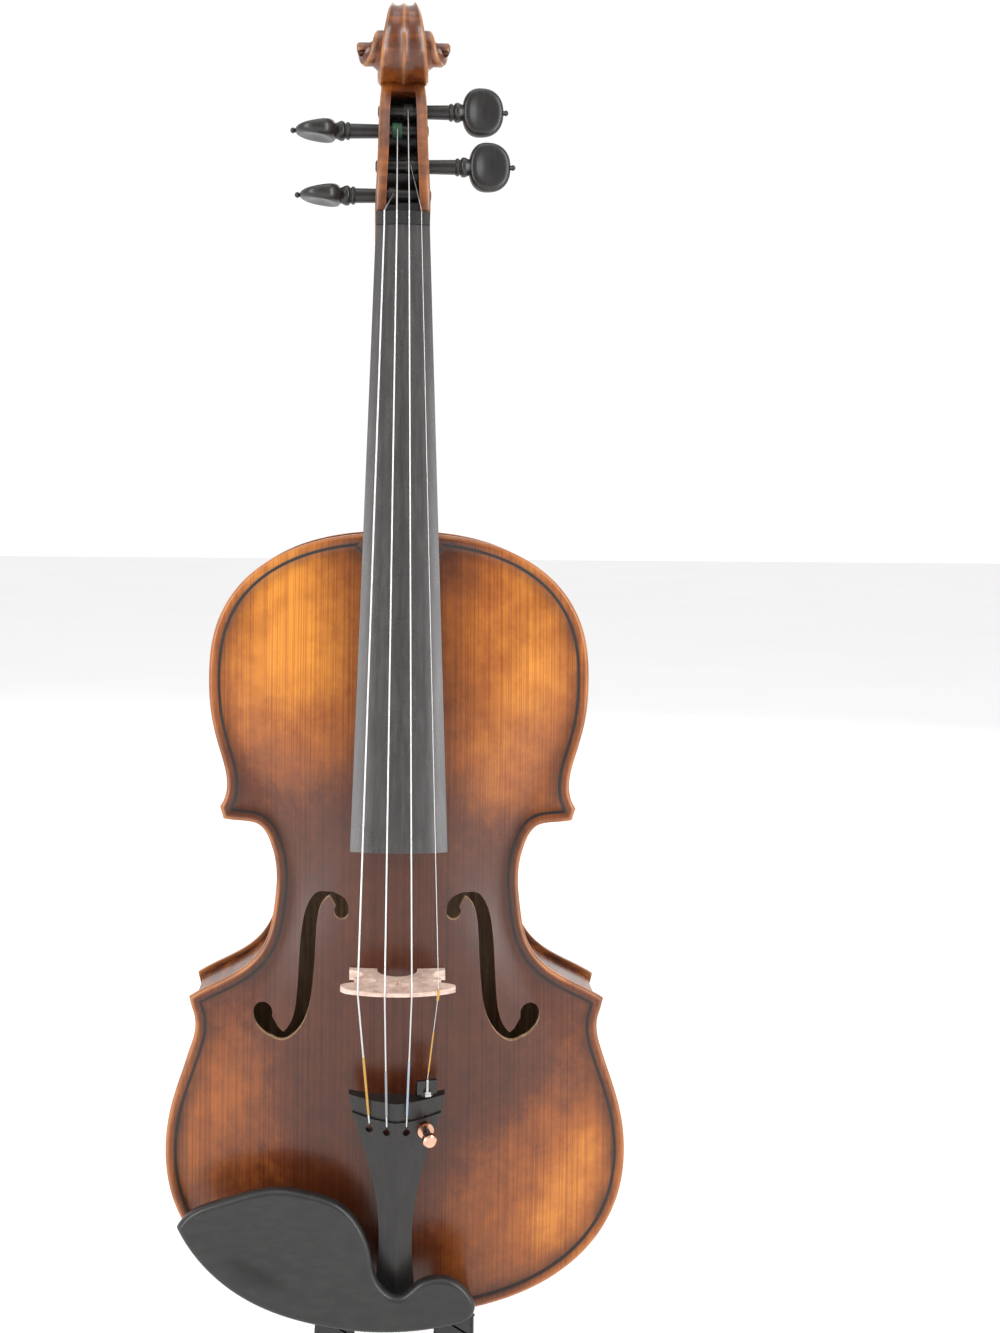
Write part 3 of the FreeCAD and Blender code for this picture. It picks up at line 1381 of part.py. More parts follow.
def make_tuner():
    post, screw, pin = size("tuner_post_radius"), size("tuner_screw_radius"), size("tuner_pin_radius")
    pivot_y, pivot_z = PIVOT
    tube = Part.makeCylinder(post, 3.4 - FLANGE_LOW, Vector(0, 0, FLANGE_LOW))
    ear_foot = pivot_z - 1.4
    ears = [Part.makeBox(0.8, 4.0, FLANGE_LOW + 0.5 - ear_foot, Vector(x, pivot_y - 2.0, ear_foot))
            for x in (-3.8, 3.0)]
    body = tube.fuse([tuner_flange()] + ears)
    body = body.cut([Part.makeCylinder(screw + size("thread_clearance"), 20, Vector(0, 0, -12)),
                     Part.makeCylinder(pin, 10, Vector(-5, pivot_y, pivot_z), ACROSS)])
    add_tuner_piece("tuner_body", body)
    add_tuner_piece("tuner_pivot_pin", Part.makeCylinder(pin, 7.6, Vector(-3.8, pivot_y, pivot_z), ACROSS))
    ring = Part.makeCylinder(post + 1.9, 1.9, Vector(0, 0, 0.02))
    add_tuner_piece("tuner_ring_nut", ring.cut(Part.makeCylinder(post, 4, Vector(0, 0, -1))))

    side = [(-3.4, SCREW_TIP - 0.1), (5.0, SCREW_TIP - 0.1), (15.9, -6.0), (16.9, 2.4), (18.2, HOOK_TOP),
            (HOOK_FAR, HOOK_TOP), (HOOK_FAR, 1.6), (19.2, 1.2), (18.0, -7.6), (6.5, -10.9), (-3.4, -9.6)]
    face = Part.Face(polygon([Vector(-2.6, y, z) for y, z in side]))
    arm = face.extrude(Vector(5.2, 0, 0))
    fork = Part.makeBox(8.6, HOOK_FAR - 18.2, HOOK_TOP - 1.6, Vector(-4.3, 18.2, 1.6))
    bore = Part.makeCylinder(pin + size("thread_clearance"), 10, Vector(-5, pivot_y, pivot_z), ACROSS)
    lever = arm.fuse(fork).cut(bore)
    add_tuner_piece("tuner_lever", lever.cut(Part.makeBox(0.8, 3.0, 6, Vector(-0.4, HOOK_FAR - 2.4, 0))))
    loop = Part.makeCylinder(0.55, 6.2, Vector(0, HOOK_FAR - 5.0, HOOK_TOP + 0.6), Vector(0, 1, 0))
    ball = Part.makeCylinder(1.2, 2.6, Vector(-1.3, HOOK_FAR - 5.6, HOOK_TOP + 1.2), ACROSS)
    add_tuner_piece("e_string_end", loop.fuse(ball))

    place_ = tuner_frame().multiply(Placement(Vector(0, 0, 0), Rotation(ACROSS, 90)))
    radius, head = "Sizes.tuner_screw_radius", "Sizes.tuner_head_radius"
    turned("tuner_screw", place_, [
        ("0", str(SCREW_TIP)), (radius + " - 0.3", str(SCREW_TIP)), (radius, str(SCREW_TIP + 0.4)),
        (radius, "5.4"), (radius + " + 0.8", "5.8"), (radius + " + 0.8", "6.6"), (head + " - 0.5", "7.0"),
        (head, "7.6"),
        (head, "9.9"), (head + " - 0.6", "10.5"), ("0", "10.8")])


# ---------------------------------------------------------------- chin rest and its clamp

CHINREST_TOP_EDGE = [(-95.8, 304.0), (-90.0, 297.6), (-76.5, 292.2), (-62.5, 288.2), (-51.5, 286.9),
                     (-38.8, 288.7), (-24.8, 293.5), (-16.4, 301.8), (-11.0, 315.0), (-7.4, 327.7),
                     (1.6, 334.2), (9.5, 328.6), (16.9, 326.0), (25.2, 326.8), (31.4, 331.2), (35.3, 337.8)]
CHINREST_TAIL_EDGE = [(35.3, 337.8), (33.4, 343.4), (24.0, 347.2), (7.7, 349.6), (-11.2, 350.0),
                      (-29.6, 347.8), (-48.0, 343.3), (-66.4, 335.2), (-84.9, 320.2), (-95.8, 304.0)]
CHINREST_FOOT = (16.0, 9.0)


def tail_spot(across, down):
    """Chin rest places are tied to the tail end of the body."""
    return flat(across, down + size("body_length") - 356.0)


def rod_line():
    """How far down the body the clamp's rods run, just outside the tail edge."""
    return size("body_length") + size("barrel_radius") - 0.4


def make_chin_rest():
    level, thick, cork = size("chinrest_level"), size("chinrest_thick"), size("cork_thick")
    rows = [[tail_spot(*spot) for spot in row] for row in (CHINREST_TOP_EDGE, CHINREST_TAIL_EDGE)]
    plate = prism(Part.Wire([spline(row).toShape() for row in rows]), EDGE_Z + level, EDGE_Z + level + thick)
    wide, long_ = CHINREST_FOOT
    near = size("saddle_width") / 2 + 0.7
    feet, pads, rods = [], [], []
    for sign in (-1, 1):
        start = flat(near if sign > 0 else -near - wide, size("body_length") - 3.0)
        feet.append(Part.makeBox(wide, long_, level - cork + 0.5, start + UP * (EDGE_Z + cork)))
        pads.append(Part.makeBox(wide, long_, cork, start + UP * EDGE_Z).cut(TOP_OUT))
        across, down = sign * size("clamp_half_span"), rod_line()
        knee = EDGE_Z + 9.0
        hook = [flat(across, size("body_length") - 8.0) + UP * knee, flat(across, down) + UP * knee,
                flat(across, down) + UP * (button_level() + 3.5)]
        rods.append(tube_path(hook, size("clamp_rod_radius")))
    add_shape("chinrest_plate", plate.fuse(feet).cut(rods))
    add_shape("chinrest_cork", Part.makeCompound(pads))
    add_shape("chinrest_rods", Part.makeCompound(rods))


def make_clamp():
    """Two threaded barrels that draw the foot up under the edge of the back."""
    for side, sign in (("bass", -1), ("treble", 1)):
        centre = flat(sign * size("clamp_half_span"), rod_line()) + UP * button_level()
        half = "Sizes.barrel_length / 2"
        bore = "Sizes.clamp_rod_radius + Sizes.thread_clearance"
        outer = "Sizes.barrel_radius"
        body = turned("clamp_barrel_" + side, Placement(centre, Rotation(ACROSS, 90)), [
            (bore, "-" + half), (outer + " - 0.5", "-" + half), (outer, "-%s + 0.6" % half),
            (outer, half + " - 0.6"), (outer + " - 0.5", half), (bore, half)])
        doc.recompute()
        for height in (-3.5, 3.5):
            hole = body.newObject("PartDesign::SubtractiveCylinder", "tommy_hole_%s_%d" % (side, height > 0))
            hole.Radius = 0.9
            hole.Height = 12
            turn = Rotation(ACROSS, 0) if height > 0 else Rotation(Vector(0, 1, 0), 90)
            base = Vector(0, height, -6) if height > 0 else Vector(-6, height, 0)
            hole.Placement = Placement(base, turn)
            doc.recompute()
    half, thick, cork = size("clamp_foot_width") / 2, size("clamp_foot_thick"), size("cork_thick")
    top = BACK_Z - cork - 0.05
    inner = size("body_length") - 12.0
    outer = rod_line() + 2.6
    plan = [flat(-half, inner + 4), flat(-half + 4, inner), flat(-9, inner + 2.5), flat(9, inner + 2.5),
            flat(half - 4, inner), flat(half, inner + 4), flat(half, outer), flat(-half, outer)]
    foot = prism(polygon(plan), top - thick, top)
    posts = [Part.makeCylinder(size("clamp_rod_radius"), button_level() - 3.0 - top + 1,
                               flat(sign * size("clamp_half_span"), rod_line()) + UP * (top - 1))
             for sign in (-1, 1)]
    add_shape("clamp_foot", foot.fuse(posts))
    pad_plan = [flat(-half + 0.6, inner + 4.3), flat(-half + 4.3, inner + 0.6), flat(-9, inner + 3.1),
                flat(9, inner + 3.1), flat(half - 4.3, inner + 0.6), flat(half - 0.6, inner + 4.3),
                flat(half - 0.6, inner + 10.4), flat(0.6 - half, inner + 10.4)]
    pad_ = prism(polygon(pad_plan), top, top + cork)
    keep_off = BACK_OUT.copy()
    keep_off.translate(-UP * 0.1)
    add_shape("clamp_cork", pad_.cut(keep_off))


# ---------------------------------------------------------------- the whole violin


def check_document():
    doc.recompute()
    faults = [o.Name for o in doc.Objects if "Invalid" in o.State or "Error" in o.State]
    for name, piece in pieces.items():
        if piece.Shape.isNull() or not piece.Shape.isValid() or piece.Shape.Volume <= 0:
            faults.append(name)
    if faults:
        raise RuntimeError("pieces that did not build: " + ", ".join(faults))


def main():
    hole = end_hole()
    treble_hole = f_hole()
    root = make_neck()
    make_board()
    make_ribs(root, hole)
    make_blocks(root, hole)
    make_linings()
    make_top_plate(root, saddle_block(), mirror_solid(treble_hole), treble_hole)
    make_back_plate()
    make_bar_and_post()
    make_tailpiece()
    make_tailgut()
    make_end_button()
    make_pegs()
    make_strings()
    make_bridge()
    make_windings()
    make_sleeve()
    make_tuner()
    make_chin_rest()
    make_clamp()
    check_document()
    os.makedirs("parts", exist_ok=True)
    for name, piece in pieces.items():
        piece.Shape.exportStep(os.path.join("parts", name + ".step"))


main()
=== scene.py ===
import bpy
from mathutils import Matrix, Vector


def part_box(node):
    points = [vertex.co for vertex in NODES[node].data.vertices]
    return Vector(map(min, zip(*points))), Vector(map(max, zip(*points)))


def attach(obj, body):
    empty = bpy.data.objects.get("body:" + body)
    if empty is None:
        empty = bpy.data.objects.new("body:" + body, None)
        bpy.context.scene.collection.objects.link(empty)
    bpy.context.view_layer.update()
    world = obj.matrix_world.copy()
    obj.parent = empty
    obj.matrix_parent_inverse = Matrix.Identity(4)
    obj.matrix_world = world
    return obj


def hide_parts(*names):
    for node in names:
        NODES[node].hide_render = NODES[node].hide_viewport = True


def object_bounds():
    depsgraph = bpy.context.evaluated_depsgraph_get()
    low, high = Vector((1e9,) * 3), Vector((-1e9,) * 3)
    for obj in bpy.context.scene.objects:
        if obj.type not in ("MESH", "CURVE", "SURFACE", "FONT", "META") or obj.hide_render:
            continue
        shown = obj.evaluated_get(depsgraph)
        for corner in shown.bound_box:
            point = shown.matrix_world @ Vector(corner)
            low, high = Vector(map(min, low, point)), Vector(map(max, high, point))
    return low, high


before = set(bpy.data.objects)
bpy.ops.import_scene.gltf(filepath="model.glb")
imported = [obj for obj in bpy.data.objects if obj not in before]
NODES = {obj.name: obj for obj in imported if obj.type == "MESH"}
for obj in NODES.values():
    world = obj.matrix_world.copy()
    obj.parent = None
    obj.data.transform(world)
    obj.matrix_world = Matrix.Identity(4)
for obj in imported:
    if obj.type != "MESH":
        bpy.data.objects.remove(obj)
CAD_BOX = [[float(value) for value in corner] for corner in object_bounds()]

import math

import bmesh
import bpy
import numpy as np
from mathutils import Matrix, Vector
from mathutils.geometry import delaunay_2d_cdt

MM = 0.001
STRINGS = ("g", "d", "a", "e")

# Sizes that the looks share with the frame, in millimetres.
NECK_STOP = 138.5
BODY_LENGTH = 356.0
BORDER = 6.5
BOUT_HALVES = (86.0, 54.8, 104.3)
BOUT_DOWNS = (66.0, 158.0, 280.0)
SCROLL_EYE = (85.3, -20.0)
SCROLL_RADIUS = 23.3
PEG_UP = {"g": 16.4, "e": 30.8, "d": 48.3, "a": 58.1}
PEG_SIDE = {"g": -1, "d": -1, "e": 1, "a": 1}
PEG_STAND = {"g": 28.4, "d": 31.2, "e": 31.0, "a": 28.2}


def row(across, up, out):
    """A place on the bench (across, up the length, out of the top, in mm) as a point of the row."""
    return Vector((across, -out, up)) * MM


# ---------------- camera, lights and floor

# The sensor's longer side in mm, and the focal length as a share of it.
SENSOR = 36.0
FOCAL_SHARE = 1.12528
CAMERA_PLACE = (-0.0105, -0.68373, -0.11781)
CAMERA_TURN = (-0.747, -0.473, -0.789)
CAMERA_SHIFT = (0.0765, -0.12)
WHITE = (1.0, 1.0, 1.0)


def placed(name, data):
    """A new object in the scene."""
    made = bpy.data.objects.new(name, data)
    bpy.context.collection.objects.link(made)
    return made


def make_camera():
    data = bpy.data.cameras.new("view_camera")
    data.sensor_width = SENSOR
    data.lens = SENSOR * FOCAL_SHARE
    data.shift_x, data.shift_y = CAMERA_SHIFT
    data.clip_start, data.clip_end = 0.01, 100.0
    pitch, roll, yaw = (math.radians(angle) for angle in CAMERA_TURN)
    turn = Matrix.Rotation(yaw, 3, "Z") @ Matrix.Rotation(pitch, 3, "X") @ Matrix.Rotation(roll, 3, "Y")
    upright = Matrix.Rotation(math.pi / 2, 3, "X")
    camera = placed("view_camera", data)
    camera.matrix_world = Matrix.Translation(CAMERA_PLACE) @ (turn @ upright).to_4x4()
    bpy.context.scene.camera = camera


def add_light(name, place, aim, width, height, power, colour):
    data = bpy.data.lights.new(name, "AREA")
    data.shape = "RECTANGLE"
    data.size, data.size_y = width, height
    data.energy = power
    data.color = colour
    lamp = placed(name, data)
    lamp.location = place
    lamp.rotation_euler = (Vector(aim) - Vector(place)).to_track_quat("-Z", "Y").to_euler()


def make_lights():
    add_light("key_left", (-1.3, -1.5, 0.7), (0, 0, -0.2), 1.2, 1.6, 4.0, (1.0, 0.985, 0.965))
    add_light("fill_right", (1.6, -1.2, 0.2), (0, 0, -0.2), 0.9, 1.8, 2.5, (0.97, 0.985, 1.0))
    add_light("top_soft", (0.0, -0.3, 1.5), (0, 0, -0.1), 1.4, 1.2, 6.0, WHITE)
    for name, across in (("strip_left", -1.15), ("strip_right", 1.15)):
        add_light(name, (across, -0.85, 0.0), (0, 0, -0.1), 0.4, 1.9, 16.0, WHITE)
    add_light("back_soft", (0.4, 1.6, 0.6), (0, 0, -0.2), 1.6, 1.6, 9.0, (1.0, 0.99, 0.98))


def make_surroundings():
    """White studio all round, dimmer on the side where a photographer would stand."""
    world = bpy.data.worlds.new("studio")
    world.use_nodes = True
    tree = world.node_tree
    kinds = ("TexCoord", "SeparateXYZ", "MapRange", "LightPath", "Mix")
    coordinates, split, dimmer, straight, level = (tree.nodes.new("ShaderNode" + kind) for kind in kinds)
    for key, amount in (("From Min", -1.0), ("From Max", -0.7), ("To Min", 0.35), ("To Max", 0.95)):
        dimmer.inputs[key].default_value = amount
    level.inputs["B"].default_value = 1.05
    tree.links.new(coordinates.outputs["Generated"], split.inputs["Vector"])
    tree.links.new(split.outputs["Y"], dimmer.inputs["Value"])
    tree.links.new(straight.outputs["Is Camera Ray"], level.inputs["Factor"])
    tree.links.new(dimmer.outputs["Result"], level.inputs["A"])
    background = tree.nodes["Background"]
    background.inputs["Color"].default_value = (*WHITE, 1.0)
    tree.links.new(level.outputs["Result"], background.inputs["Strength"])
    bpy.context.scene.world = world
    bpy.context.scene.view_settings.view_transform = "Standard"


# ---------------- material helpers


class Look:
    """One procedural material, built node by node."""

    def __init__(self, name):
        self.material = bpy.data.materials.new(name)
        self.material.use_nodes = True
        self.tree = self.material.node_tree
        self.shader = self.tree.nodes["Principled BSDF"]
        self.place = self.add("TexCoord").outputs["Object"]

    def feed(self, socket, value):
        if isinstance(value, bpy.types.NodeSocket):
            self.tree.links.new(value, socket)
        elif isinstance(value, tuple) and len(value) == 3 and socket.type == "RGBA":
            socket.default_value = (*value, 1.0)
        else:
            socket.default_value = value

    def add(self, kind, inputs=None, **settings):
        """A node of a kind, set and then fed."""
        made = self.tree.nodes.new("ShaderNode" + kind)
        for key, value in settings.items():
            setattr(made, key, value)
        for key, value in (inputs or {}).items():
            self.feed(made.inputs[key], value)
        return made

    def mapped(self, scale, shift=(0, 0, 0), turn=(0, 0, 0)):
        inputs = {"Vector": self.place, "Location": shift, "Rotation": turn, "Scale": scale}
        return self.add("Mapping", inputs).outputs["Vector"]

    def noise(self, scale, detail=3.0, rough=0.5, warp=0.0, turn=(0, 0, 0)):
        inputs = {"Vector": self.mapped(scale, turn=turn), "Scale": 1.0, "Detail": detail,
                  "Roughness": rough, "Distortion": warp}
        return self.add("TexNoise", inputs).outputs["Fac"]

    def blob(self, centre, reach):
        """1 at a centre (across, along z), falling to 0 at its reach; places in mm."""
        scale = (1000.0 / reach[0], 0.0, 1000.0 / reach[1])
        shift = (-centre[0] / reach[0], 0.0, -centre[1] / reach[1])
        inputs = {"Vector": self.mapped(scale, shift)}
        return self.add("TexGradient", inputs, gradient_type="SPHERICAL").outputs["Fac"]

    def math(self, operation, first, second):
        return self.add("Math", {0: first, 1: second}, operation=operation).outputs[0]

    def times(self, first, second):
        return self.math("MULTIPLY", first, second)

    def plus(self, first, second):
        return self.math("ADD", first, second)

    def remap(self, value, low, high, to_low=0.0, to_high=1.0):
        inputs = {"Value": value, "From Min": low, "From Max": high, "To Min": to_low, "To Max": to_high}
        return self.add("MapRange", inputs, clamp=True).outputs["Result"]

    def mix(self, share, first, second, blend="MIX"):
        inputs = {"Factor": share, "A": first, "B": second}
        return self.add("Mix", inputs, data_type="RGBA", blend_type=blend).outputs["Result"]

    def ramp(self, value, stops):
        made = self.add("ValToRGB", {"Fac": value})
        elements = made.color_ramp.elements
        while len(elements) < len(stops):
            elements.new(0.5)
        for element, (spot, colour) in zip(elements, stops):
            element.position = spot
            element.color = (*colour, 1.0)
        return made.outputs["Color"]

    def field(self, name):
        return self.add("Attribute", attribute_name=name).outputs["Fac"]

    def along(self, axis):
        return self.add("SeparateXYZ", {"Vector": self.place}).outputs[axis]

    def bump(self, height, strength, distance):
        inputs = {"Height": height, "Strength": strength, "Distance": distance}
        self.feed(self.shader.inputs["Normal"], self.add("Bump", inputs).outputs["Normal"])

    def finish(self, colour, rough, **sockets):
        self.feed(self.shader.inputs["Base Color"], colour)
        self.feed(self.shader.inputs["Roughness"], rough)
        for key, value in sockets.items():
            self.shader.inputs[key.replace("_", " ")].default_value = value
        return self.material


GOLD = (0.62, 0.225, 0.026)
AMBER = (0.31, 0.085, 0.010)
RUSSET = (0.105, 0.024, 0.0065)
UMBER = (0.042, 0.0115, 0.0045)
WORN_EDGE = (0.42, 0.15, 0.04)
WORN_SCROLL = (0.46, 0.20, 0.07)
# Near black painted into the pegbox's hollow as shade.
PAINTED_SHADE_BLACK = (0.012, 0.008, 0.006)

# Golden patches of the varnish: (place across and along z, reach across and along z, strength), in mm.
TOP_PATCHES = [((-50, -180), (58, 78), 0.95), ((60, -192), (58, 92), 1.0), ((64, -452), (62, 66), 0.58),
               ((86, -405), (40, 80), 0.40), ((-86, -410), (44, 80), 0.50), ((-40, -235), (60, 60), 0.22),
               ((44, -255), (50, 50), 0.25)]
BACK_PATCHES = [((0, -165), (70, 52), 0.55), ((-52, -215), (48, 60), 0.30), ((0, -300), (44, 110), 0.62),
                ((-14, -400), (56, 84), 0.50), ((52, -214), (50, 60), 0.24), ((0, -472), (84, 44), 0.55),
                ((-70, -430), (48, 70), 0.30), ((76, -430), (44, 70), 0.25)]


def varnish_colour(look, glow, shade):
    """Shaded varnish from dark russet to gold; glow is 0 to 1, shade darkens towards umber."""
    tone = look.ramp(glow, [(0.0, UMBER), (0.22, RUSSET), (0.55, AMBER), (1.0, GOLD)])
    return look.mix(shade, tone, UMBER)


def patches_glow(look, patches, ground):
    """Glow of the varnish: its ground level and every golden patch over it."""
    spots = [look.times(look.blob(place, reach), amount) for place, reach, amount in patches]
    glow = spots[0]
    for spot in spots[1:]:
        glow = look.plus(glow, spot)
    return look.plus(glow, ground)


def edge_tones(look, colour):
    """Dirt in the channel beside the purfling and a worn, paler crest at the very edge."""
    edge = look.field("edge")
    wander = look.noise((60, 60, 60), detail=4.0)
    inner = look.remap(edge, 0.0115, 0.0055)
    outer = look.remap(edge, 0.0022, 0.0040)
    dirt = look.remap(wander, 0.3, 0.7, 0.25, 0.85)
    channel = look.times(look.times(inner, outer), dirt)
    colour = look.mix(channel, colour, UMBER)
    wear = look.remap(wander, 0.35, 0.6, 0.3, 0.85)
    crest = look.times(look.remap(edge, 0.0021, 0.0010), wear)
    return look.mix(crest, colour, WORN_EDGE)


def spruce_look():
    look = Look("spruce_varnish")
    spread = look.noise((9, 9, 9), detail=5.0, rough=0.6)
    glow = patches_glow(look, TOP_PATCHES, 0.17)
    glow = look.times(glow, look.remap(spread, 0.3, 0.7, 0.62, 1.22))
    patches = look.noise((30, 30, 26), detail=6.0, rough=0.6)
    glow = look.times(glow, look.remap(patches, 0.3, 0.7, 0.74, 1.2))
    mottle = look.noise((150, 150, 120), detail=7.0, rough=0.75)
    glow = look.plus(glow, look.remap(mottle, 0.3, 0.7, -0.10, 0.075))
    shade = look.times(look.blob((0, -330), (84, 100)), look.remap(spread, 0.3, 0.8, 0.35, 0.6))
    colour = varnish_colour(look, glow, shade)
    grain = look.noise((1300, 4, 4), detail=2.0, rough=0.6, warp=0.08)
    lines = look.remap(grain, 0.46, 0.60, 0.0, 0.42)
    colour = look.mix(lines, colour, (0.30, 0.16, 0.10), "MULTIPLY")
    colour = edge_tones(look, colour)
    height = look.plus(look.times(grain, 0.7), look.times(mottle, 0.3))
    look.bump(height, 0.2, 0.0002)
    rough = look.remap(mottle, 0.25, 0.75, 0.26, 0.42)
    return look.finish(colour, rough, Coat_Weight=0.25, Coat_Roughness=0.16, Specular_IOR_Level=0.4)


def maple_look(name, turn, plate=True):
    """Flamed maple under shaded varnish; turn tilts the flames."""
    look = Look(name)
    spread = look.noise((8, 8, 8), detail=5.0, rough=0.6)
    if plate:
        glow = patches_glow(look, BACK_PATCHES, 0.20)
    else:
        glow = look.remap(spread, 0.2, 0.8, 0.10, 0.36)
    glow = look.times(glow, look.remap(spread, 0.25, 0.75, 0.66, 1.3))
    wide = look.noise((9, 9, 130), detail=3.0, rough=0.55, warp=0.6, turn=turn)
    narrow = look.noise((22, 22, 330), detail=4.0, rough=0.6, warp=0.5, turn=turn)
    flame = look.plus(look.times(wide, 0.62), look.times(narrow, 0.38))
    glow = look.plus(glow, look.remap(flame, 0.40, 0.60, -0.24, 0.22))
    colour = varnish_colour(look, glow, look.remap(flame, 0.34, 0.5, 0.42, 0.0))
    pores = look.noise((900, 900, 55), detail=2.0)
    colour = look.mix(look.remap(pores, 0.56, 0.72, 0.0, 0.32), colour, (0.09, 0.022, 0.008), "MULTIPLY")
    colour = edge_tones(look, colour) if plate else colour
    height = look.plus(look.times(flame, 0.6), look.times(pores, 0.4))
    look.bump(height, 0.16, 0.0003)
    rough = look.remap(spread, 0.25, 0.75, 0.2, 0.34)
    return look.finish(colour, rough, Coat_Weight=0.3, Coat_Roughness=0.1, Specular_IOR_Level=0.45)


def neck_look():
    """Bare, handled maple on the shaft; dark varnish on the scroll and at the heel; painted shade, near
    black, in the pegbox's hollow.
    """
    look = Look("neck_maple")
    wander = look.noise((45, 45, 30), detail=5.0, rough=0.65)
    height = look.plus(look.along("Z"), look.times(wander, 0.016))
    upper = look.remap(height, 0.001, -0.012, 0.0, 1.0)
    lower = look.remap(height, -0.116, -0.106, 0.0, 1.0)
    bare = look.times(upper, lower)
    figure = look.noise((30, 30, 190), detail=4.0, rough=0.55, warp=0.6)
    fleck = look.noise((420, 420, 60), detail=3.0)
    handled = [(0.3, (0.52, 0.33, 0.21)), (0.5, (0.66, 0.46, 0.32)), (0.72, (0.74, 0.57, 0.43))]
    pale = look.ramp(figure, handled)
    pale = look.mix(look.remap(fleck, 0.55, 0.75, 0.0, 0.35), pale, (0.38, 0.22, 0.13))
    glow = look.remap(wander, 0.3, 0.7, 0.02, 0.5)
    dark = varnish_colour(look, look.plus(glow, look.remap(figure, 0.4, 0.6, -0.08, 0.08)), 0.15)
    # The wear field: real wear on the scroll's ridges where positive, painted shade in the pegbox's
    # hollow where negative.
    wear = look.field("wear")
    worn = look.times(look.remap(wear, 0.05, 0.9), look.remap(wander, 0.38, 0.58, 0.3, 0.85))
    dark = look.mix(worn, dark, WORN_SCROLL)
    # Painted shade: the pegbox's hollow, where the wear field is negative, is painted near black.
    dark = look.mix(look.remap(wear, -0.05, -0.6, 0.0, 0.96), dark, PAINTED_SHADE_BLACK)
    colour = look.mix(bare, dark, pale)
    look.bump(look.plus(figure, look.times(fleck, 0.5)), 0.12, 0.0003)
    rough = look.remap(bare, 0.0, 1.0, 0.27, 0.5)
    return look.finish(colour, rough, Coat_Weight=0.25, Coat_Roughness=0.15, Specular_IOR_Level=0.45)


def ebony_look(name, tone, low, high, scale=(500, 500, 30)):
    look = Look(name)
    streak = look.noise(scale, detail=4.0, rough=0.6)
    cloud = look.noise((35, 35, 35), detail=4.0)
    light = tuple(channel * 1.5 + 0.002 for channel in tone)
    colour = look.mix(look.remap(streak, 0.42, 0.75), tone, light)
    look.bump(streak, 0.08, 0.00005)
    return look.finish(colour, look.remap(cloud, 0.25, 0.75, low, high), Specular_IOR_Level=0.5)


def metal_look(name, colour, low, high, scale=(2400, 2400, 300)):
    look = Look(name)
    brush = look.noise(scale, detail=2.0)
    cloud = look.noise((180, 180, 180), detail=3.0)
    darker = tuple(channel * 0.72 for channel in colour)
    tone = look.mix(look.remap(cloud, 0.35, 0.7), colour, darker)
    look.bump(brush, 0.1, 0.0001)
    return look.finish(tone, look.remap(brush, 0.3, 0.7, low, high), Metallic=1.0)


def wound_look(name, colour, metallic, low=0.28, high=0.42):
    """Fine windings round a string, or a wrapping of silk."""
    look = Look(name)
    inputs = {"Vector": look.mapped((1, 1, 1)), "Scale": 900.0, "Distortion": 0.3}
    turns = look.add("TexWave", inputs, bands_direction="Z").outputs["Fac"]
    darker = tuple(channel * 0.6 for channel in colour)
    tone = look.mix(look.remap(turns, 0.1, 0.7), darker, colour)
    look.bump(turns, 0.3, 0.00005)
    return look.finish(tone, look.remap(turns, 0.0, 1.0, high, low), Metallic=metallic)


def bare_wood_look(name, pale, dark, scale, rough=0.55):
    look = Look(name)
    grain = look.noise(scale, detail=4.0, rough=0.6)
    fleck = look.noise((700, 150, 260), detail=2.0)
    colour = look.ramp(grain, [(0.3, dark), (0.62, pale)])
    colour = look.mix(look.remap(fleck, 0.58, 0.72, 0.0, 0.45), colour, dark)
    look.bump(look.plus(grain, fleck), 0.15, 0.0002)
    return look.finish(colour, look.remap(grain, 0.3, 0.7, rough - 0.1, rough + 0.06))


def cork_look():
    look = Look("cork")
    cells = look.add("TexVoronoi", {"Vector": look.mapped((1, 1, 1)), "Scale": 900.0})
    speck = look.noise((700, 700, 700), detail=4.0)
    colour = look.ramp(speck, [(0.35, (0.20, 0.085, 0.035)), (0.6, (0.45, 0.23, 0.11))])
    look.bump(cells.outputs["Distance"], 0.5, 0.0003)
    return look.finish(colour, look.remap(speck, 0.3, 0.7, 0.7, 0.9))


def floor_look():
    look = Look("pale_floor")
    cloud = look.noise((3, 3, 3), detail=3.0)
    colour = look.mix(look.remap(cloud, 0.3, 0.7), (0.95, 0.95, 0.95), (0.97, 0.97, 0.97))
    return look.finish(colour, 0.8)


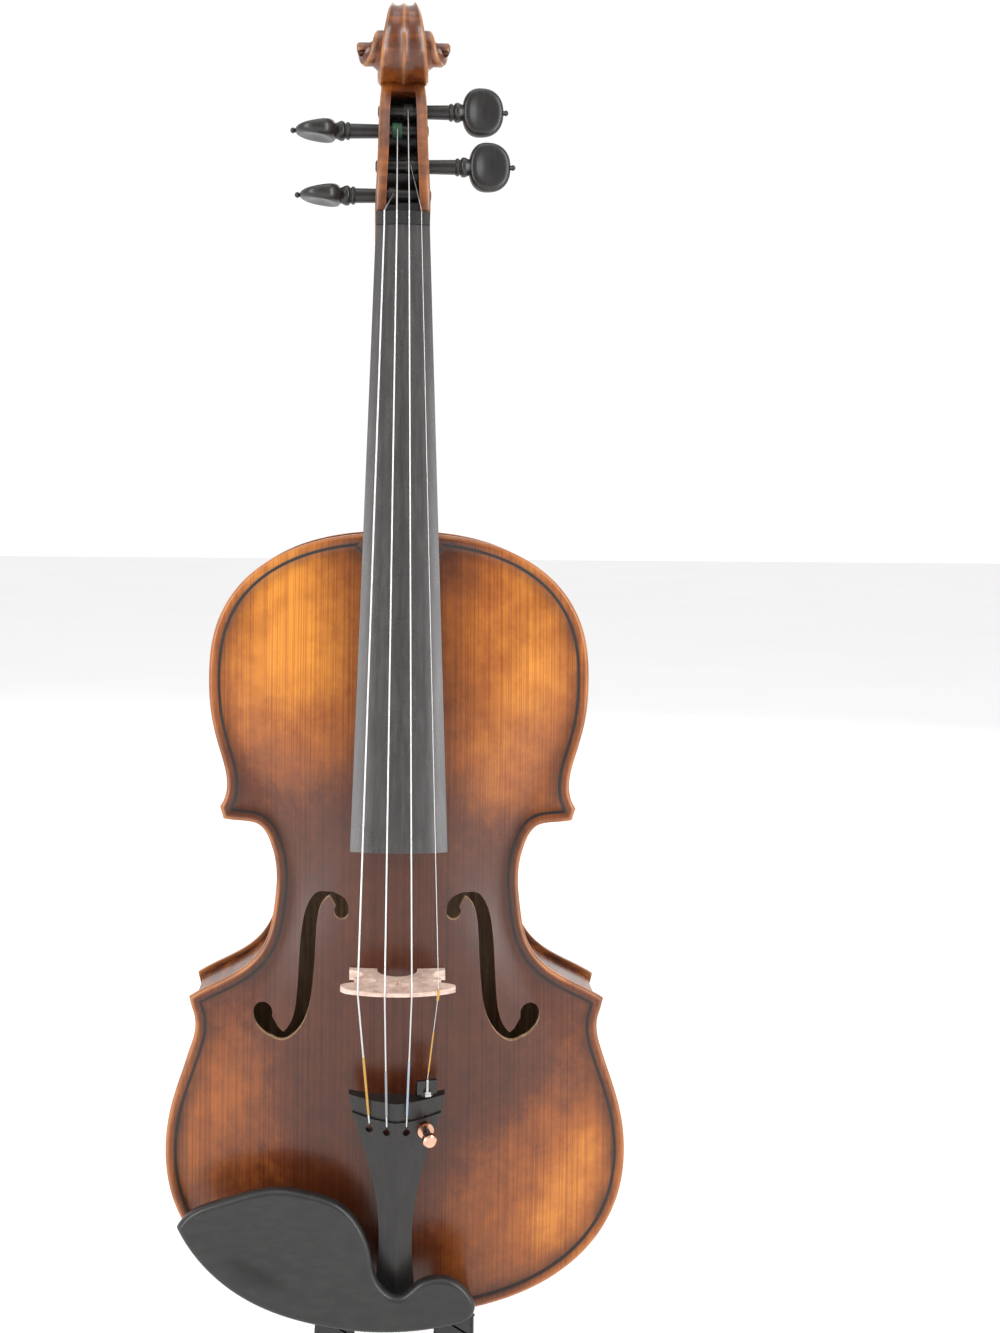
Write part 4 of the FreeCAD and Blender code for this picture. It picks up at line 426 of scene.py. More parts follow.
FLAME_TILT = (0.0, math.radians(5.0), 0.0)
LOOKS = {
    "spruce": spruce_look(),
    "back": maple_look("maple_varnish", FLAME_TILT),
    "ribs": maple_look("rib_maple", (math.radians(90), math.radians(90), 0), plate=False),
    "neck": neck_look(),
    "board": ebony_look("ebony_board", (0.045, 0.041, 0.041), 0.24, 0.32),
    "ebony": ebony_look("ebony_fittings", (0.0125, 0.0115, 0.011), 0.25, 0.40),
    "rest": ebony_look("ebony_rest", (0.0135, 0.013, 0.0125), 0.26, 0.4, scale=(120, 300, 300)),
    "line": ebony_look("dark_inlay", (0.012, 0.006, 0.004), 0.3, 0.45),
    "black": ebony_look("black_metal", (0.010, 0.010, 0.011), 0.2, 0.32, scale=(900, 900, 900)),
    "cord": wound_look("black_cord", (0.012, 0.012, 0.013), 0.0, 0.45, 0.6),
    "bridge": bare_wood_look("bridge_maple", (0.70, 0.54, 0.46), (0.46, 0.29, 0.22), (160, 160, 500)),
    "bare": bare_wood_look("bare_spruce", (0.52, 0.36, 0.22), (0.30, 0.17, 0.09), (700, 60, 30)),
    "silver": wound_look("string_metal", (0.78, 0.78, 0.78), 1.0),
    # Painted shade: the metal windings in the pegbox get a near black colour as shade.
    "painted_dark_windings": wound_look("windings_painted_shade", (0.07, 0.066, 0.06), 0.6),
    "steel": metal_look("steel", (0.62, 0.61, 0.60), 0.18, 0.32),
    "copper": metal_look("copper_plate", (0.86, 0.50, 0.36), 0.14, 0.3),
    "gold_silk": wound_look("gold_silk", (0.55, 0.30, 0.06), 0.0, 0.5, 0.65),
    "green_silk": wound_look("green_silk", (0.05, 0.16, 0.08), 0.0, 0.5, 0.65),
    "grey_silk": wound_look("grey_silk", (0.30, 0.31, 0.33), 0.0, 0.5, 0.65),
    "blue_silk": wound_look("blue_silk", (0.36, 0.43, 0.52), 0.0, 0.5, 0.65),
    "cork": cork_look(),
}

SIDES = ("bass", "treble")
RIBS = ["rib_%s_%s" % (bout, side) for bout in ("upper", "centre", "lower") for side in SIDES]
CORNER_BLOCKS = ["corner_block_%s_%s" % (place, side) for place in ("upper", "lower") for side in SIDES]
NODE_LOOKS = {
    "ribs": RIBS,
    "board": ["fingerboard"],
    "ebony": ["nut", "saddle", "tailpiece", "tailpiece_fret", "end_button", "button_crown",
              "locating_pins"],
    "black": ["clamp_foot", "tuner_lever", "tuner_body", "chinrest_rods"],
    "steel": ["clamp_barrel_bass", "clamp_barrel_treble", "tuner_pivot_pin", "e_string_end"],
    "copper": ["tuner_screw", "tuner_ring_nut"],
    "cord": ["tailgut"],
    "cork": ["chinrest_cork", "clamp_cork"],
    "bridge": ["bridge"],
    "silver": ["string_" + string for string in STRINGS],
    # The windings in the pegbox, painted dark as shade.
    "painted_dark_windings": ["winding_g", "winding_a", "winding_e"],
    "green_silk": ["winding_d"],
    "gold_silk": ["e_string_sleeve"],
    "bare": ["bass_bar", "sound_post", "neck_block", "end_block", "linings_top", "linings_back",
             *CORNER_BLOCKS],
}


def dress_frame():
    for key, names in NODE_LOOKS.items():
        for name in names:
            slots = NODES[name].data.materials
            slots.clear()
            slots.append(LOOKS[key])


# ---------------- mesh helpers


def add_piece(name, points, faces, body, looks, replaced=(), sharp=35.0, inlaid=None, fields=None):
    """A mesh piece in metres; inlaid gives each face its material, fields are point attributes."""
    mesh = bpy.data.meshes.new(name)
    mesh.from_pydata([tuple(point) for point in points], [], [tuple(face) for face in faces])
    for key, values in (fields or {}).items():
        layer = mesh.attributes.new(key, "FLOAT", "POINT")
        layer.data.foreach_set("value", np.asarray(values, dtype=np.float32))
    for look in looks:
        mesh.materials.append(LOOKS[look])
    if inlaid is not None:
        mesh.polygons.foreach_set("material_index", np.asarray(inlaid, dtype=np.int32))
    mesh.update()
    built = bmesh.new()
    built.from_mesh(mesh)
    bmesh.ops.recalc_face_normals(built, faces=built.faces[:])
    built.to_mesh(mesh)
    built.free()
    mesh.polygons.foreach_set("use_smooth", [True] * len(mesh.polygons))
    mesh.set_sharp_from_angle(angle=math.radians(sharp))
    piece = placed(name, mesh)
    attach(piece, body)
    if replaced:
        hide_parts(*replaced)


def loft(rings, caps=True):
    """Points and faces of a skin over closed rings that all have the same number of points."""
    count = len(rings[0])
    points = [point for ring in rings for point in ring]
    faces = []
    for i in range(len(rings) - 1):
        for j in range(count):
            k = (j + 1) % count
            faces.append((i * count + j, i * count + k, (i + 1) * count + k, (i + 1) * count + j))
    if caps:
        faces.append(tuple(range(count))[::-1])
        faces.append(tuple(range((len(rings) - 1) * count, len(rings) * count)))
    return points, faces


def joined(parts):
    """Several (points, faces) skins as one."""
    points, faces = [], []
    for more, skin in parts:
        start = len(points)
        points += more
        faces += [tuple(index + start for index in face) for face in skin]
    return points, faces


def turned(profile, centre, axis, side, count=40):
    """A lathe-turned skin: profile is (distance along the axis, radius) in mm."""
    rings = []
    for along, radius in profile:
        middle = centre + axis * along * MM
        reach = max(radius, 0.01) * MM
        rings.append([middle + (side * math.cos(a) + axis.cross(side) * math.sin(a)) * reach
                      for a in (2 * math.pi * i / count for i in range(count))])
    return loft(rings)


def eased(start, end, start_slope, end_slope, t):
    """Cubic from start to end as t goes from 0 to 1, with its slopes at both ends."""
    return (start * (1 + 2 * t) * (1 - t) ** 2 + start_slope * t * (1 - t) ** 2
            + end * t * t * (3 - 2 * t) - end_slope * t * t * (1 - t))


def smooth_line(stations, value):
    """Smooth interpolation through (position, value) stations."""
    xs = [station[0] for station in stations]
    ys = [station[1] for station in stations]
    value = min(max(value, xs[0]), xs[-1])
    i = max(k for k in range(len(xs) - 1) if xs[k] <= value)
    slopes = [(ys[k + 1] - ys[k]) / (xs[k + 1] - xs[k]) for k in range(len(xs) - 1)]

    def slope(k):
        if k == 0 or k == len(xs) - 1:
            return slopes[min(k, len(slopes) - 1)]
        return (slopes[k - 1] + slopes[k]) / 2

    span = xs[i + 1] - xs[i]
    return eased(ys[i], ys[i + 1], slope(i) * span, slope(i + 1) * span, (value - xs[i]) / span)


# ---------------- outlines read from the frame

FLATNESS = 2e-5
SHARP_CORNER = 30.0
SHORTEST_LOOP = 8
BLOCK = 2000


def mesh_arrays(name):
    """A node's points and triangles as arrays."""
    mesh = NODES[name].data
    points = np.empty(len(mesh.vertices) * 3)
    mesh.vertices.foreach_get("co", points)
    mesh.calc_loop_triangles()
    corners = np.empty(len(mesh.loop_triangles) * 3, dtype=np.int64)
    mesh.loop_triangles.foreach_get("vertices", corners)
    return points.reshape(-1, 3), corners.reshape(-1, 3)


def toggle_side(sides, start, end):
    """Keep a directed side, or drop it if its other direction is there already."""
    if (end, start) in sides:
        del sides[(end, start)]
    else:
        sides[(start, end)] = True


def border_loops(points, corners, keep):
    """Closed border lines, as arrays of (x, z), of the kept triangles."""
    seen = {}
    spots = {}
    keys = [tuple(key) for key in np.round(points[:, [0, 2]] * 1e5).astype(int)]
    for index in np.nonzero(keep)[0]:
        a, b, c = corners[index]
        for i, j in ((a, b), (b, c), (c, a)):
            start, end = keys[i], keys[j]
            if start == end:
                continue
            spots[start] = points[i][[0, 2]]
            spots[end] = points[j][[0, 2]]
            toggle_side(seen, start, end)
    following = {}
    for start, end in seen:
        following.setdefault(start, []).append(end)
    loops = []
    while following:
        first = next(iter(following))
        chain, spot = [first], first
        while spot in following:
            nexts = following[spot]
            spot = nexts.pop()
            if not nexts:
                del following[chain[-1]]
            if spot == first:
                break
            chain.append(spot)
        if len(chain) > SHORTEST_LOOP:
            loops.append(np.array([spots[key] for key in chain]))
    return loops


def level_outline(name, level):
    """Outer border of a node's flat face at a level of y."""
    points, corners = mesh_arrays(name)
    flat = np.abs(points[:, 1] - level) < FLATNESS
    loops = border_loops(points, corners, flat[corners].all(axis=1))
    return max(loops, key=lambda loop: np.prod(loop.max(axis=0) - loop.min(axis=0)))


def even_loop(loop, spacing):
    """The same closed line with evenly spaced points and its sharp corners kept."""
    steps = np.roll(loop, -1, axis=0) - loop
    loop = loop[np.hypot(*steps.T) > 1e-5]
    steps = np.roll(loop, -1, axis=0) - loop
    headings = np.arctan2(steps[:, 1], steps[:, 0])
    turns = np.abs((headings - np.roll(headings, 1) + math.pi) % (2 * math.pi) - math.pi)
    marks = np.nonzero(turns > math.radians(SHARP_CORNER))[0]
    if len(marks) == 0:
        marks = np.array([0])
    made = []
    for first, last in zip(marks, np.roll(marks, -1)):
        end = last if last > first else last + len(loop)
        run = [loop[k % len(loop)] for k in range(first, end + 1)]
        made.append(spaced(np.array(run), spacing)[:-1])
    return np.vstack(made)


def spaced(run, spacing):
    """Evenly spaced points along an open run, on a smooth curve through its points."""
    lengths = np.hypot(*(run[1:] - run[:-1]).T)
    travel = np.concatenate([[0.0], np.cumsum(lengths)])
    count = max(int(round(travel[-1] / spacing)), 1)
    wanted = np.linspace(0, travel[-1], count + 1)
    if len(run) < 4:
        return np.stack([np.interp(wanted, travel, run[:, k]) for k in (0, 1)], axis=1)
    tangents = np.gradient(run, travel, axis=0)
    spot = np.clip(np.searchsorted(travel, wanted, side="right") - 1, 0, len(run) - 2)
    span = lengths[spot]
    t = ((wanted - travel[spot]) / span)[:, None]
    span = span[:, None]
    return eased(run[spot], run[spot + 1], tangents[spot] * span, tangents[spot + 1] * span, t)


def distance_to(points, loop):
    """Distance of each point from a closed line."""
    step = np.roll(loop, -1, axis=0) - loop
    square = (step ** 2).sum(axis=1)
    result = np.empty(len(points))
    for low in range(0, len(points), BLOCK):
        block = points[low:low + BLOCK, None, :] - loop[None]
        share = np.clip((block * step).sum(axis=2) / square, 0, 1)
        gap = block - share[..., None] * step
        result[low:low + BLOCK] = np.sqrt((gap ** 2).sum(axis=2).min(axis=1))
    return result


def inside(points, loop):
    """Whether each point lies inside a closed line."""
    x0, z0 = loop[:, 0], loop[:, 1]
    x1, z1 = np.roll(x0, -1), np.roll(z0, -1)
    result = np.zeros(len(points), dtype=bool)
    for low in range(0, len(points), BLOCK):
        px = points[low:low + BLOCK, 0][:, None]
        pz = points[low:low + BLOCK, 1][:, None]
        straddles = (z0 > pz) != (z1 > pz)
        with np.errstate(divide="ignore", invalid="ignore"):
            crossing = px < (x1 - x0) * (pz - z0) / (z1 - z0) + x0
        result[low:low + BLOCK] = (straddles & crossing).sum(axis=1) % 2 == 1
    return result


def moved_in(loop, distance):
    """Points of a closed line moved inwards, without those that would pass another side."""
    before, after = np.roll(loop, 1, axis=0), np.roll(loop, -1, axis=0)
    heading = after - before
    heading /= np.hypot(*heading.T)[:, None]
    area = 0.5 * np.sum(loop[:, 0] * after[:, 1] - after[:, 0] * loop[:, 1])
    normal = np.stack([-heading[:, 1], heading[:, 0]], axis=1) * (1 if area > 0 else -1)
    points = loop + normal * distance
    kept = (distance_to(points, loop) > distance * 0.97) & inside(points, loop)
    return points[kept]


class Plan:
    """A flat triangle mesh inside an outline, with holes, dense near every border."""

    def __init__(self, outline, holes, insets, spacing, seed_depth):
        rings = [outline] + holes
        points = rings + [moved_in(outline, inset) for inset in insets]
        low, high = outline.min(axis=0), outline.max(axis=0)
        columns = np.arange(low[0], high[0], spacing)
        rows = np.arange(low[1], high[1], spacing)
        grid = np.array([(x + (k % 2) * spacing / 2, z) for k, z in enumerate(rows) for x in columns])
        grid = grid[inside(grid, outline)]
        grid = grid[distance_to(grid, outline) > seed_depth]
        for hole in holes:
            grid = grid[~inside(grid, hole)]
            grid = grid[distance_to(grid, hole) > spacing * 0.6]
        points.append(grid)
        edges, start = [], 0
        for ring in rings:
            edges += [(start + k, start + (k + 1) % len(ring)) for k in range(len(ring))]
            start += len(ring)
        flat = [Vector(point) for point in np.vstack(points)]
        made = delaunay_2d_cdt(flat, edges, [], 0, 1e-7)
        self.points = np.array([tuple(point) for point in made[0]])
        faces = np.array([face for face in made[2] if len(face) == 3])
        centres = self.points[faces].mean(axis=1)
        kept = inside(centres, outline)
        for hole in holes:
            kept &= ~inside(centres, hole)
        self.faces = faces[kept]
        used = np.unique(self.faces)
        renumber = np.full(len(self.points), -1)
        renumber[used] = np.arange(len(used))
        self.points = self.points[used]
        self.faces = renumber[self.faces]
        self.edge = distance_to(self.points, outline)

    def shell(self, front, back, chosen=None):
        """Closed skin between two levels of y given per point.

        Returns its points, its faces with the walls last, each point's index in the plan and the
        number of walls.
        """
        faces = self.faces if chosen is None else self.faces[chosen]
        count = len(self.points)
        points = np.vstack([np.column_stack([self.points[:, 0], level, self.points[:, 1]])
                            for level in (front, back)])
        sides = {}
        for a, b, c in faces:
            for start, end in ((a, b), (b, c), (c, a)):
                toggle_side(sides, start, end)
        walls = [(i, j, j + count, i + count) for i, j in sides]
        skin = [tuple(face) for face in faces]
        skin += [tuple(face[::-1] + count) for face in faces]
        skin += walls
        used = np.unique(np.concatenate([np.array(face) for face in skin]))
        renumber = np.full(2 * count, -1)
        renumber[used] = np.arange(len(used))
        skin = [tuple(renumber[list(face)]) for face in skin]
        return points[used], skin, used % count, len(walls)


# ---------------- carved plates


def arch_share(across, down):
    """Share of the full arch at each place (mm): the same long and cross arches as the frame."""
    halves = [half - BORDER for half in BOUT_HALVES]
    upper, waist, lower = BOUT_DOWNS

    def blended(start, end, share):
        return start + (end - start) * (0.5 - 0.5 * np.cos(np.pi * np.clip(share, 0, 1)))

    top = np.clip((upper - down) / (upper - BORDER), 0, 1)
    tail = np.clip((down - lower) / (BODY_LENGTH - BORDER - lower), 0, 1)
    half = np.where(down < waist, blended(halves[0], halves[1], (down - upper) / (waist - upper)),
                    blended(halves[1], halves[2], (down - waist) / (lower - waist)))
    half = np.where(down < upper, halves[0] * (1 - top ** 2.4) ** (1 / 2.4), half)
    half = np.where(down > lower, halves[2] * (1 - tail ** 2.2) ** (1 / 2.2), half)
    along = np.clip(np.abs(down - BODY_LENGTH / 2) / (BODY_LENGTH / 2 - BORDER), 0, 1)
    wide = np.clip(np.abs(across) / np.maximum(half, 1e-6), 0, 1)
    return (1 - along ** 3) ** 1.1 * (1 - wide ** 2.3) ** 1.4


# Height of a plate's surface over its edge level by the distance from its outline, in mm.
EDGE_PROFILE = ((0.0, -1.45), (0.25, -0.80), (0.7, -0.30), (1.3, -0.02), (2.0, 0.10), (2.8, 0.02),
                (3.5, -0.16), (4.0, -0.30), (5.3, -0.66), (6.2, -0.88), (7.4, -1.0), (9.0, -1.0))
LOWER_PROFILE = ((0.0, 1.1), (0.25, 0.55), (0.7, 0.2), (1.3, 0.0), (2.0, 0.0))
INSETS = (0.25, 0.7, 1.3, 2.0, 2.8, 3.5, 4.0, 4.65, 5.3, 6.2, 7.4, 8.8)
CHANNEL = 1.0
PLATE_THICK = 3.0
EDGE_THICK = 4.0
PLATE_SPACING = 2.4
SEED_DEPTH = 9.6
OUTLINE_STEP = 1.1
PURFLING_LIFT = 0.03
TOP_RISE = 11.5
BACK_RISE = 11.0

# Distances from the outline and the sound holes' place and size, in metres.
PURFLING = (0.00398, 0.00532)
HIDDEN_INSIDE = 0.0042
HOLE_MARGIN = 0.001
HOLE_CLEAR = 0.005
HOLE_SPAN = (-0.405, -0.260)
HOLE_ACROSS = 0.075
HOLE_TALL = (0.05, 0.09)
HOLE_WIDE = 0.06
HOLE_STEP = 0.0008


def profile_at(profile, depth):
    """Value of a (place, value) profile at each depth."""
    return np.interp(depth, [spot[0] for spot in profile], [spot[1] for spot in profile])


def carve_plate(name, outline, holes, edge_level, rise, sign, looks, replaced, line_name, line_node):
    """A plate with rounded edge, crest, channel and arch; sign is -1 where the arch faces -y."""
    plan = Plan(outline, holes, [inset * MM for inset in INSETS], PLATE_SPACING * MM, SEED_DEPTH * MM)
    depth = plan.edge / MM
    share = arch_share(plan.points[:, 0] / MM, -plan.points[:, 1] / MM - NECK_STOP)
    outer = profile_at(EDGE_PROFILE, depth) + (rise + CHANNEL) * share
    inner = np.maximum(outer - PLATE_THICK, -EDGE_THICK + profile_at(LOWER_PROFILE, depth))
    front = edge_level + sign * outer * MM
    back = edge_level + sign * inner * MM
    points, faces, source, walls = plan.shell(front, back)
    spread = np.array([plan.edge[source[list(face)]].max() for face in faces])
    inlaid = np.zeros(len(faces), dtype=int)
    inlaid[-walls:] = spread[-walls:] > HOLE_MARGIN
    inlaid[len(plan.faces):-walls] = spread[len(plan.faces):-walls] > HIDDEN_INSIDE
    add_piece(name, points, faces, "violin", looks, replaced, inlaid=inlaid,
              fields={"edge": plan.edge[source]})
    middle = plan.edge[plan.faces].mean(axis=1)
    chosen = (middle > PURFLING[0]) & (middle < PURFLING[1])
    lift = sign * PURFLING_LIFT * MM
    points, faces, _, _ = plan.shell(front + lift, front - 10 * lift, chosen)
    add_piece(line_name, points, faces, "violin", ["line"], [line_node], sharp=60.0)


def f_hole_loops(outline):
    """Borders of the sound holes, read from the arched middle of the frame's top."""
    points, corners = mesh_arrays("top_plate")
    a, b, c = (points[corners[:, k]] for k in range(3))
    normals = np.cross(b - a, c - a)
    normals /= np.maximum(np.linalg.norm(normals, axis=1), 1e-12)[:, None]
    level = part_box("purfling_top")[0][1]
    middle = (a + b + c) / 3
    arched = (normals[:, 1] < -0.3) & (middle[:, 1] < level + 0.0004)
    arched &= (middle[:, 2] > HOLE_SPAN[0]) & (middle[:, 2] < HOLE_SPAN[1])
    arched &= np.abs(middle[:, 0]) < HOLE_ACROSS
    wanted = []
    for loop in border_loops(points, corners, arched):
        wide, tall = loop.max(axis=0) - loop.min(axis=0)
        clear = distance_to(loop, outline).min() > HOLE_CLEAR
        if clear and HOLE_TALL[0] < tall < HOLE_TALL[1] and wide < HOLE_WIDE:
            wanted.append(even_loop(loop, HOLE_STEP))
    return wanted


def make_plates():
    top_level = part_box("purfling_top")[0][1]
    outline = even_loop(level_outline("top_plate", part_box("top_plate")[1][1]), OUTLINE_STEP * MM)
    carve_plate("carved_top", outline, f_hole_loops(outline), top_level, TOP_RISE, -1, ["spruce", "bare"],
                ["top_plate"], "purfling_line_top", "purfling_top")
    back_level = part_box("purfling_back")[1][1]
    outline = even_loop(level_outline("back_plate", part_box("back_plate")[0][1]), OUTLINE_STEP * MM)
    carve_plate("carved_back", outline, [], back_level, BACK_RISE, 1, ["back", "bare"],
                ["back_plate"], "purfling_line_back", "purfling_back")


# ---------------- neck, pegbox and scroll

# The scroll's turns are counted in quarters from its top, towards the front.
TURNS_START = -1.62
TURNS_END = 9.0
TURN_STEPS = 240
SHRINK = 0.815
SCROLL_FLUTE = 1.5
SCROLL_BEVEL = 0.95
HALF_WIDTHS = ((-1.7, 10.6), (-1.45, 10.0), (-1.0, 8.2), (-0.5, 6.6), (0.0, 5.7), (0.58, 8.0),
               (1.0, 9.9), (2.0, 11.8), (3.0, 12.2), (4.0, 12.9), (5.0, 15.2), (6.0, 18.8), (6.8, 21.0),
               (7.6, 21.8), (9.0, 21.8))
# The double flute down the back: (depth as a share of its full depth, place as a share of half width).
FLUTE = ((0.8, 0.26), (1.0, 0.46), (0.85, 0.64), (0.35, 0.8))


def scroll_radius(turn):
    """Radius of the scroll's edge at a turn."""
    if turn < 0:
        return SCROLL_RADIUS * (1 + 0.07 * turn * turn)
    return SCROLL_RADIUS * SHRINK ** turn


def scroll_section(turn):
    """Right half of the scroll's section at a turn: (radius, half width, wear) from the ridge in."""
    radius = scroll_radius(turn)
    inner = scroll_radius(min(turn + 4, TURNS_END + 3)) * 0.93
    if turn > TURNS_END - 4:
        inner = max(0.3, inner * (TURNS_END - turn) / 4)
    half = smooth_line(HALF_WIDTHS, turn)
    flute = SCROLL_FLUTE * min(max((2.6 - turn) / 0.6, 0.0), 1.0)
    rim = radius - SCROLL_BEVEL
    rows = [(radius, 0.0, 0.9), (radius - 0.3 * flute, 0.10 * half, 0.2)]
    rows += [(radius - share * flute, across * half, 0.0) for share, across in FLUTE]
    rows += [(radius, half - SCROLL_BEVEL, 0.8), (rim, half, 0.8)]
    step = smooth_line(HALF_WIDTHS, min(turn + 4, TURNS_END)) - half
    dip = 0.9 if turn < 5 else max(0.0, 0.9 * (6.5 - turn) / 1.5)
    for share in (0.12, 0.3, 0.5, 0.7, 0.86, 0.96):
        level = half - dip * math.sin(math.pi * min(share * 1.25, 1.0)) + 0.45 * step * share ** 5
        rows.append((rim - (rim - inner) * share, level, 0.0))
    rows.append((inner, half * 0.4, 0.0))
    return rows


def scroll_mesh():
    rings, wear = [], []
    for k in range(TURN_STEPS + 1):
        turn = TURNS_START + (TURNS_END - TURNS_START) * k / TURN_STEPS
        angle = turn * math.pi / 2
        right = scroll_section(turn)
        section = right + [(radius, -across, worn) for radius, across, worn in right[:0:-1]]
        rings.append([row(across, SCROLL_EYE[0] + radius * math.cos(angle),
                          SCROLL_EYE[1] + radius * math.sin(angle)) for radius, across, _ in section])
        wear += [worn for _, _, worn in section]
    return loft(rings), wear


# The pegbox by the height above the nut, in mm: half width, and the levels of its front and back.
CHEEK_HALVES = ((-9.0, 12.3), (0.0, 12.5), (10.0, 12.55), (34.0, 11.6), (68.0, 10.3), (85.0, 7.6),
                (92.0, 6.5))
FRONT_LEVELS = ((-9.0, 0.6), (5.9, -0.6), (7.4, 2.0), (8.5, 2.35), (64.0, -14.3), (68.0, -16.5),
                (74.0, -22.0), (84.0, -32.0), (92.0, -36.0))
BACK_LEVELS = ((-9.0, -10.8), (-7.0, -12.9), (-3.0, -17.5), (3.0, -21.0), (12.2, -24.5), (29.9, -29.5),
               (50.3, -35.0), (67.8, -40.3), (80.0, -44.2), (92.0, -44.0))
CHEEK_WALL = 4.9
CHEEK_BEVEL = 0.8
BACK_FLUTE = 1.4
SHAFT_CUT = -0.0068


def pegbox_section(up):
    """Whole section of the pegbox at a height: (across, level, wear), with its hollow in front; the
    hollow's points get negative values, which paint shade there.
    """
    half = smooth_line(CHEEK_HALVES, up)
    front = smooth_line(FRONT_LEVELS, up)
    back = smooth_line(BACK_LEVELS, up)
    opening = min(max((up - 5.9) / 1.2, 0.0), 1.0) * min(max((65.5 - up) / 2.0, 0.0), 1.0)
    floor = front - 0.03 - max(front - back - CHEEK_WALL, 0.5) * opening
    inner = half - CHEEK_WALL
    flute = BACK_FLUTE * min(max((up - 2.0) / 6.0, 0.0), 1.0)
    outside = [(inner, front, 0.3), (inner + 0.6, front + 0.15, 0.1),
               (half - CHEEK_BEVEL, front + 0.1, 0.3), (half, front - CHEEK_BEVEL, 0.8)]
    side = [(half + 0.25, front + (back - front) * 0.5, 0.0), (half, back + CHEEK_BEVEL, 0.8),
            (half - CHEEK_BEVEL, back, 0.8)]
    hollow = [(across * half, back + share * flute, 0.0) for share, across in FLUTE[::-1]]
    right = outside + side + hollow + [(0.10 * half, back + 0.3 * flute, 0.2)]
    left = [(-across, level, worn) for across, level, worn in right[::-1]]
    middle = [(0.0, back, 0.9)]
    # Painted shade: the hollow's walls and floor get negative values, painted near black.
    hollow_painted_shade = -opening
    rim = [(-inner + 0.02, front - 1.2 * opening - 0.01, hollow_painted_shade), (-inner + 0.05, floor, hollow_painted_shade),
           (0.0, floor - 0.3 * opening, hollow_painted_shade), (inner - 0.05, floor, hollow_painted_shade),
           (inner - 0.02, front - 1.2 * opening - 0.01, hollow_painted_shade)]
    return right + middle + left + rim


def pegbox_mesh():
    stations = [-8.6, -7.8, -6.5, -5.0, -3.0, -1.0, 1.0, 3.0, 5.0, 5.95, 6.1, 6.4, 6.8, 7.2, 8.0]
    stations += [8.0 + 2.0 * k for k in range(1, 28)]
    stations += [63.4, 64.2, 64.8, 65.3, 65.8, 67.0, 69.0, 72.0, 76.0, 80.0, 85.0, 90.0]
    rings, wear = [], []
    for up in stations:
        section = pegbox_section(up)
        rings.append([row(across, up, level) for across, level, _ in section])
        # Real wear on the edges, and painted shade in the hollow as negative values.
        wear += [worn for _, _, worn in section]
    return loft(rings), wear


def taken_from(built):
    """Points and faces of a bmesh, which is freed."""
    built.verts.index_update()
    points = [vertex.co.copy() for vertex in built.verts]
    faces = [[vertex.index for vertex in face.verts] for face in built.faces]
    built.free()
    return points, faces


def shaft_mesh():
    """Shaft and heel as the frame has them, cut off inside the pegbox."""
    built = bmesh.new()
    built.from_mesh(NODES["neck"].data)
    bmesh.ops.remove_doubles(built, verts=built.verts[:], dist=1e-6)
    geometry = built.verts[:] + built.edges[:] + built.faces[:]
    bmesh.ops.bisect_plane(built, geom=geometry, plane_co=(0, 0, SHAFT_CUT), plane_no=(0, 0, 1),
                           clear_outer=True)
    rim = [edge for edge in built.edges if edge.is_boundary]
    bmesh.ops.holes_fill(built, edges=rim, sides=0)
    return taken_from(built)


def make_neck():
    scroll, scroll_wear = scroll_mesh()
    pegbox, pegbox_wear_and_shade = pegbox_mesh()
    shaft = shaft_mesh()
    points, faces = joined([scroll, pegbox, shaft])
    # The wear field carries real wear and, where negative, the painted shade of the pegbox's hollow.
    wear = scroll_wear + pegbox_wear_and_shade + [0.0] * len(shaft[0])
    add_piece("carved_neck", points, faces, "violin", ["neck"], ["neck"], sharp=50.0,
              fields={"wear": wear})


# ---------------- pegs

PEG_RADIUS = 3.45
HEAD_LONG = 19.6
HEAD_WIDE = 23.0
HEAD_THICK = 10.5
HEAD_COUNT = 56
HEAD_SHARES = (0.0, 0.22, 0.42, 0.6, 0.74, 0.85, 0.93, 0.98, 1.0)
HEAD_DISH = 0.36
PIP_RADIUS = 1.4
# The peg's collar: (distance from its stand, radius), in mm.
COLLAR = ((-6.4, 3.9), (-6.0, 4.15), (-5.4, 4.2), (-4.9, 4.0), (-4.7, 3.6), (-4.3, 3.55), (-4.0, 4.1),
          (-3.5, 4.55), (-2.8, 4.7), (-2.0, 4.6), (-1.2, 4.2), (-0.4, 3.8), (3.0, 3.2))


def peg_line(string):
    """Middle of a peg in the pegbox and the direction of its head."""
    up = PEG_UP[string]
    return row(0, up, -7.5 - 0.3 * (up - 8.0)), Vector((PEG_SIDE[string], 0, 0))


def peg_shaft(string, centre, axis):
    """Tapered shaft with its collar, and the round pip at the head's end."""
    stand = PEG_STAND[string]
    far = 0.035 * PEG_UP[string] - 12.9

    def radius(along):
        return PEG_RADIUS + (along - 22.0) / 60.0

    profile = [(far - 0.9, radius(far) - 1.2), (far - 0.6, radius(far) - 0.3)]
    profile += [(along, radius(along)) for along in (far, 0.0, stand - 6.6)]
    profile += [(stand + along, size) for along, size in COLLAR]
    end = stand + HEAD_LONG
    pip = [(end - 1.2, 0.5), (end - 0.8, 0.95), (end + 0.1, 1.2)]
    pip += [(end + 0.4 + PIP_RADIUS * math.sin(a), PIP_RADIUS * math.cos(a))
            for a in (math.pi / 2 * k / 5 for k in range(6))]
    side = Vector((0, 0, 1))
    return [turned(profile, centre, axis, side), turned(pip, centre, axis, side, 24)]


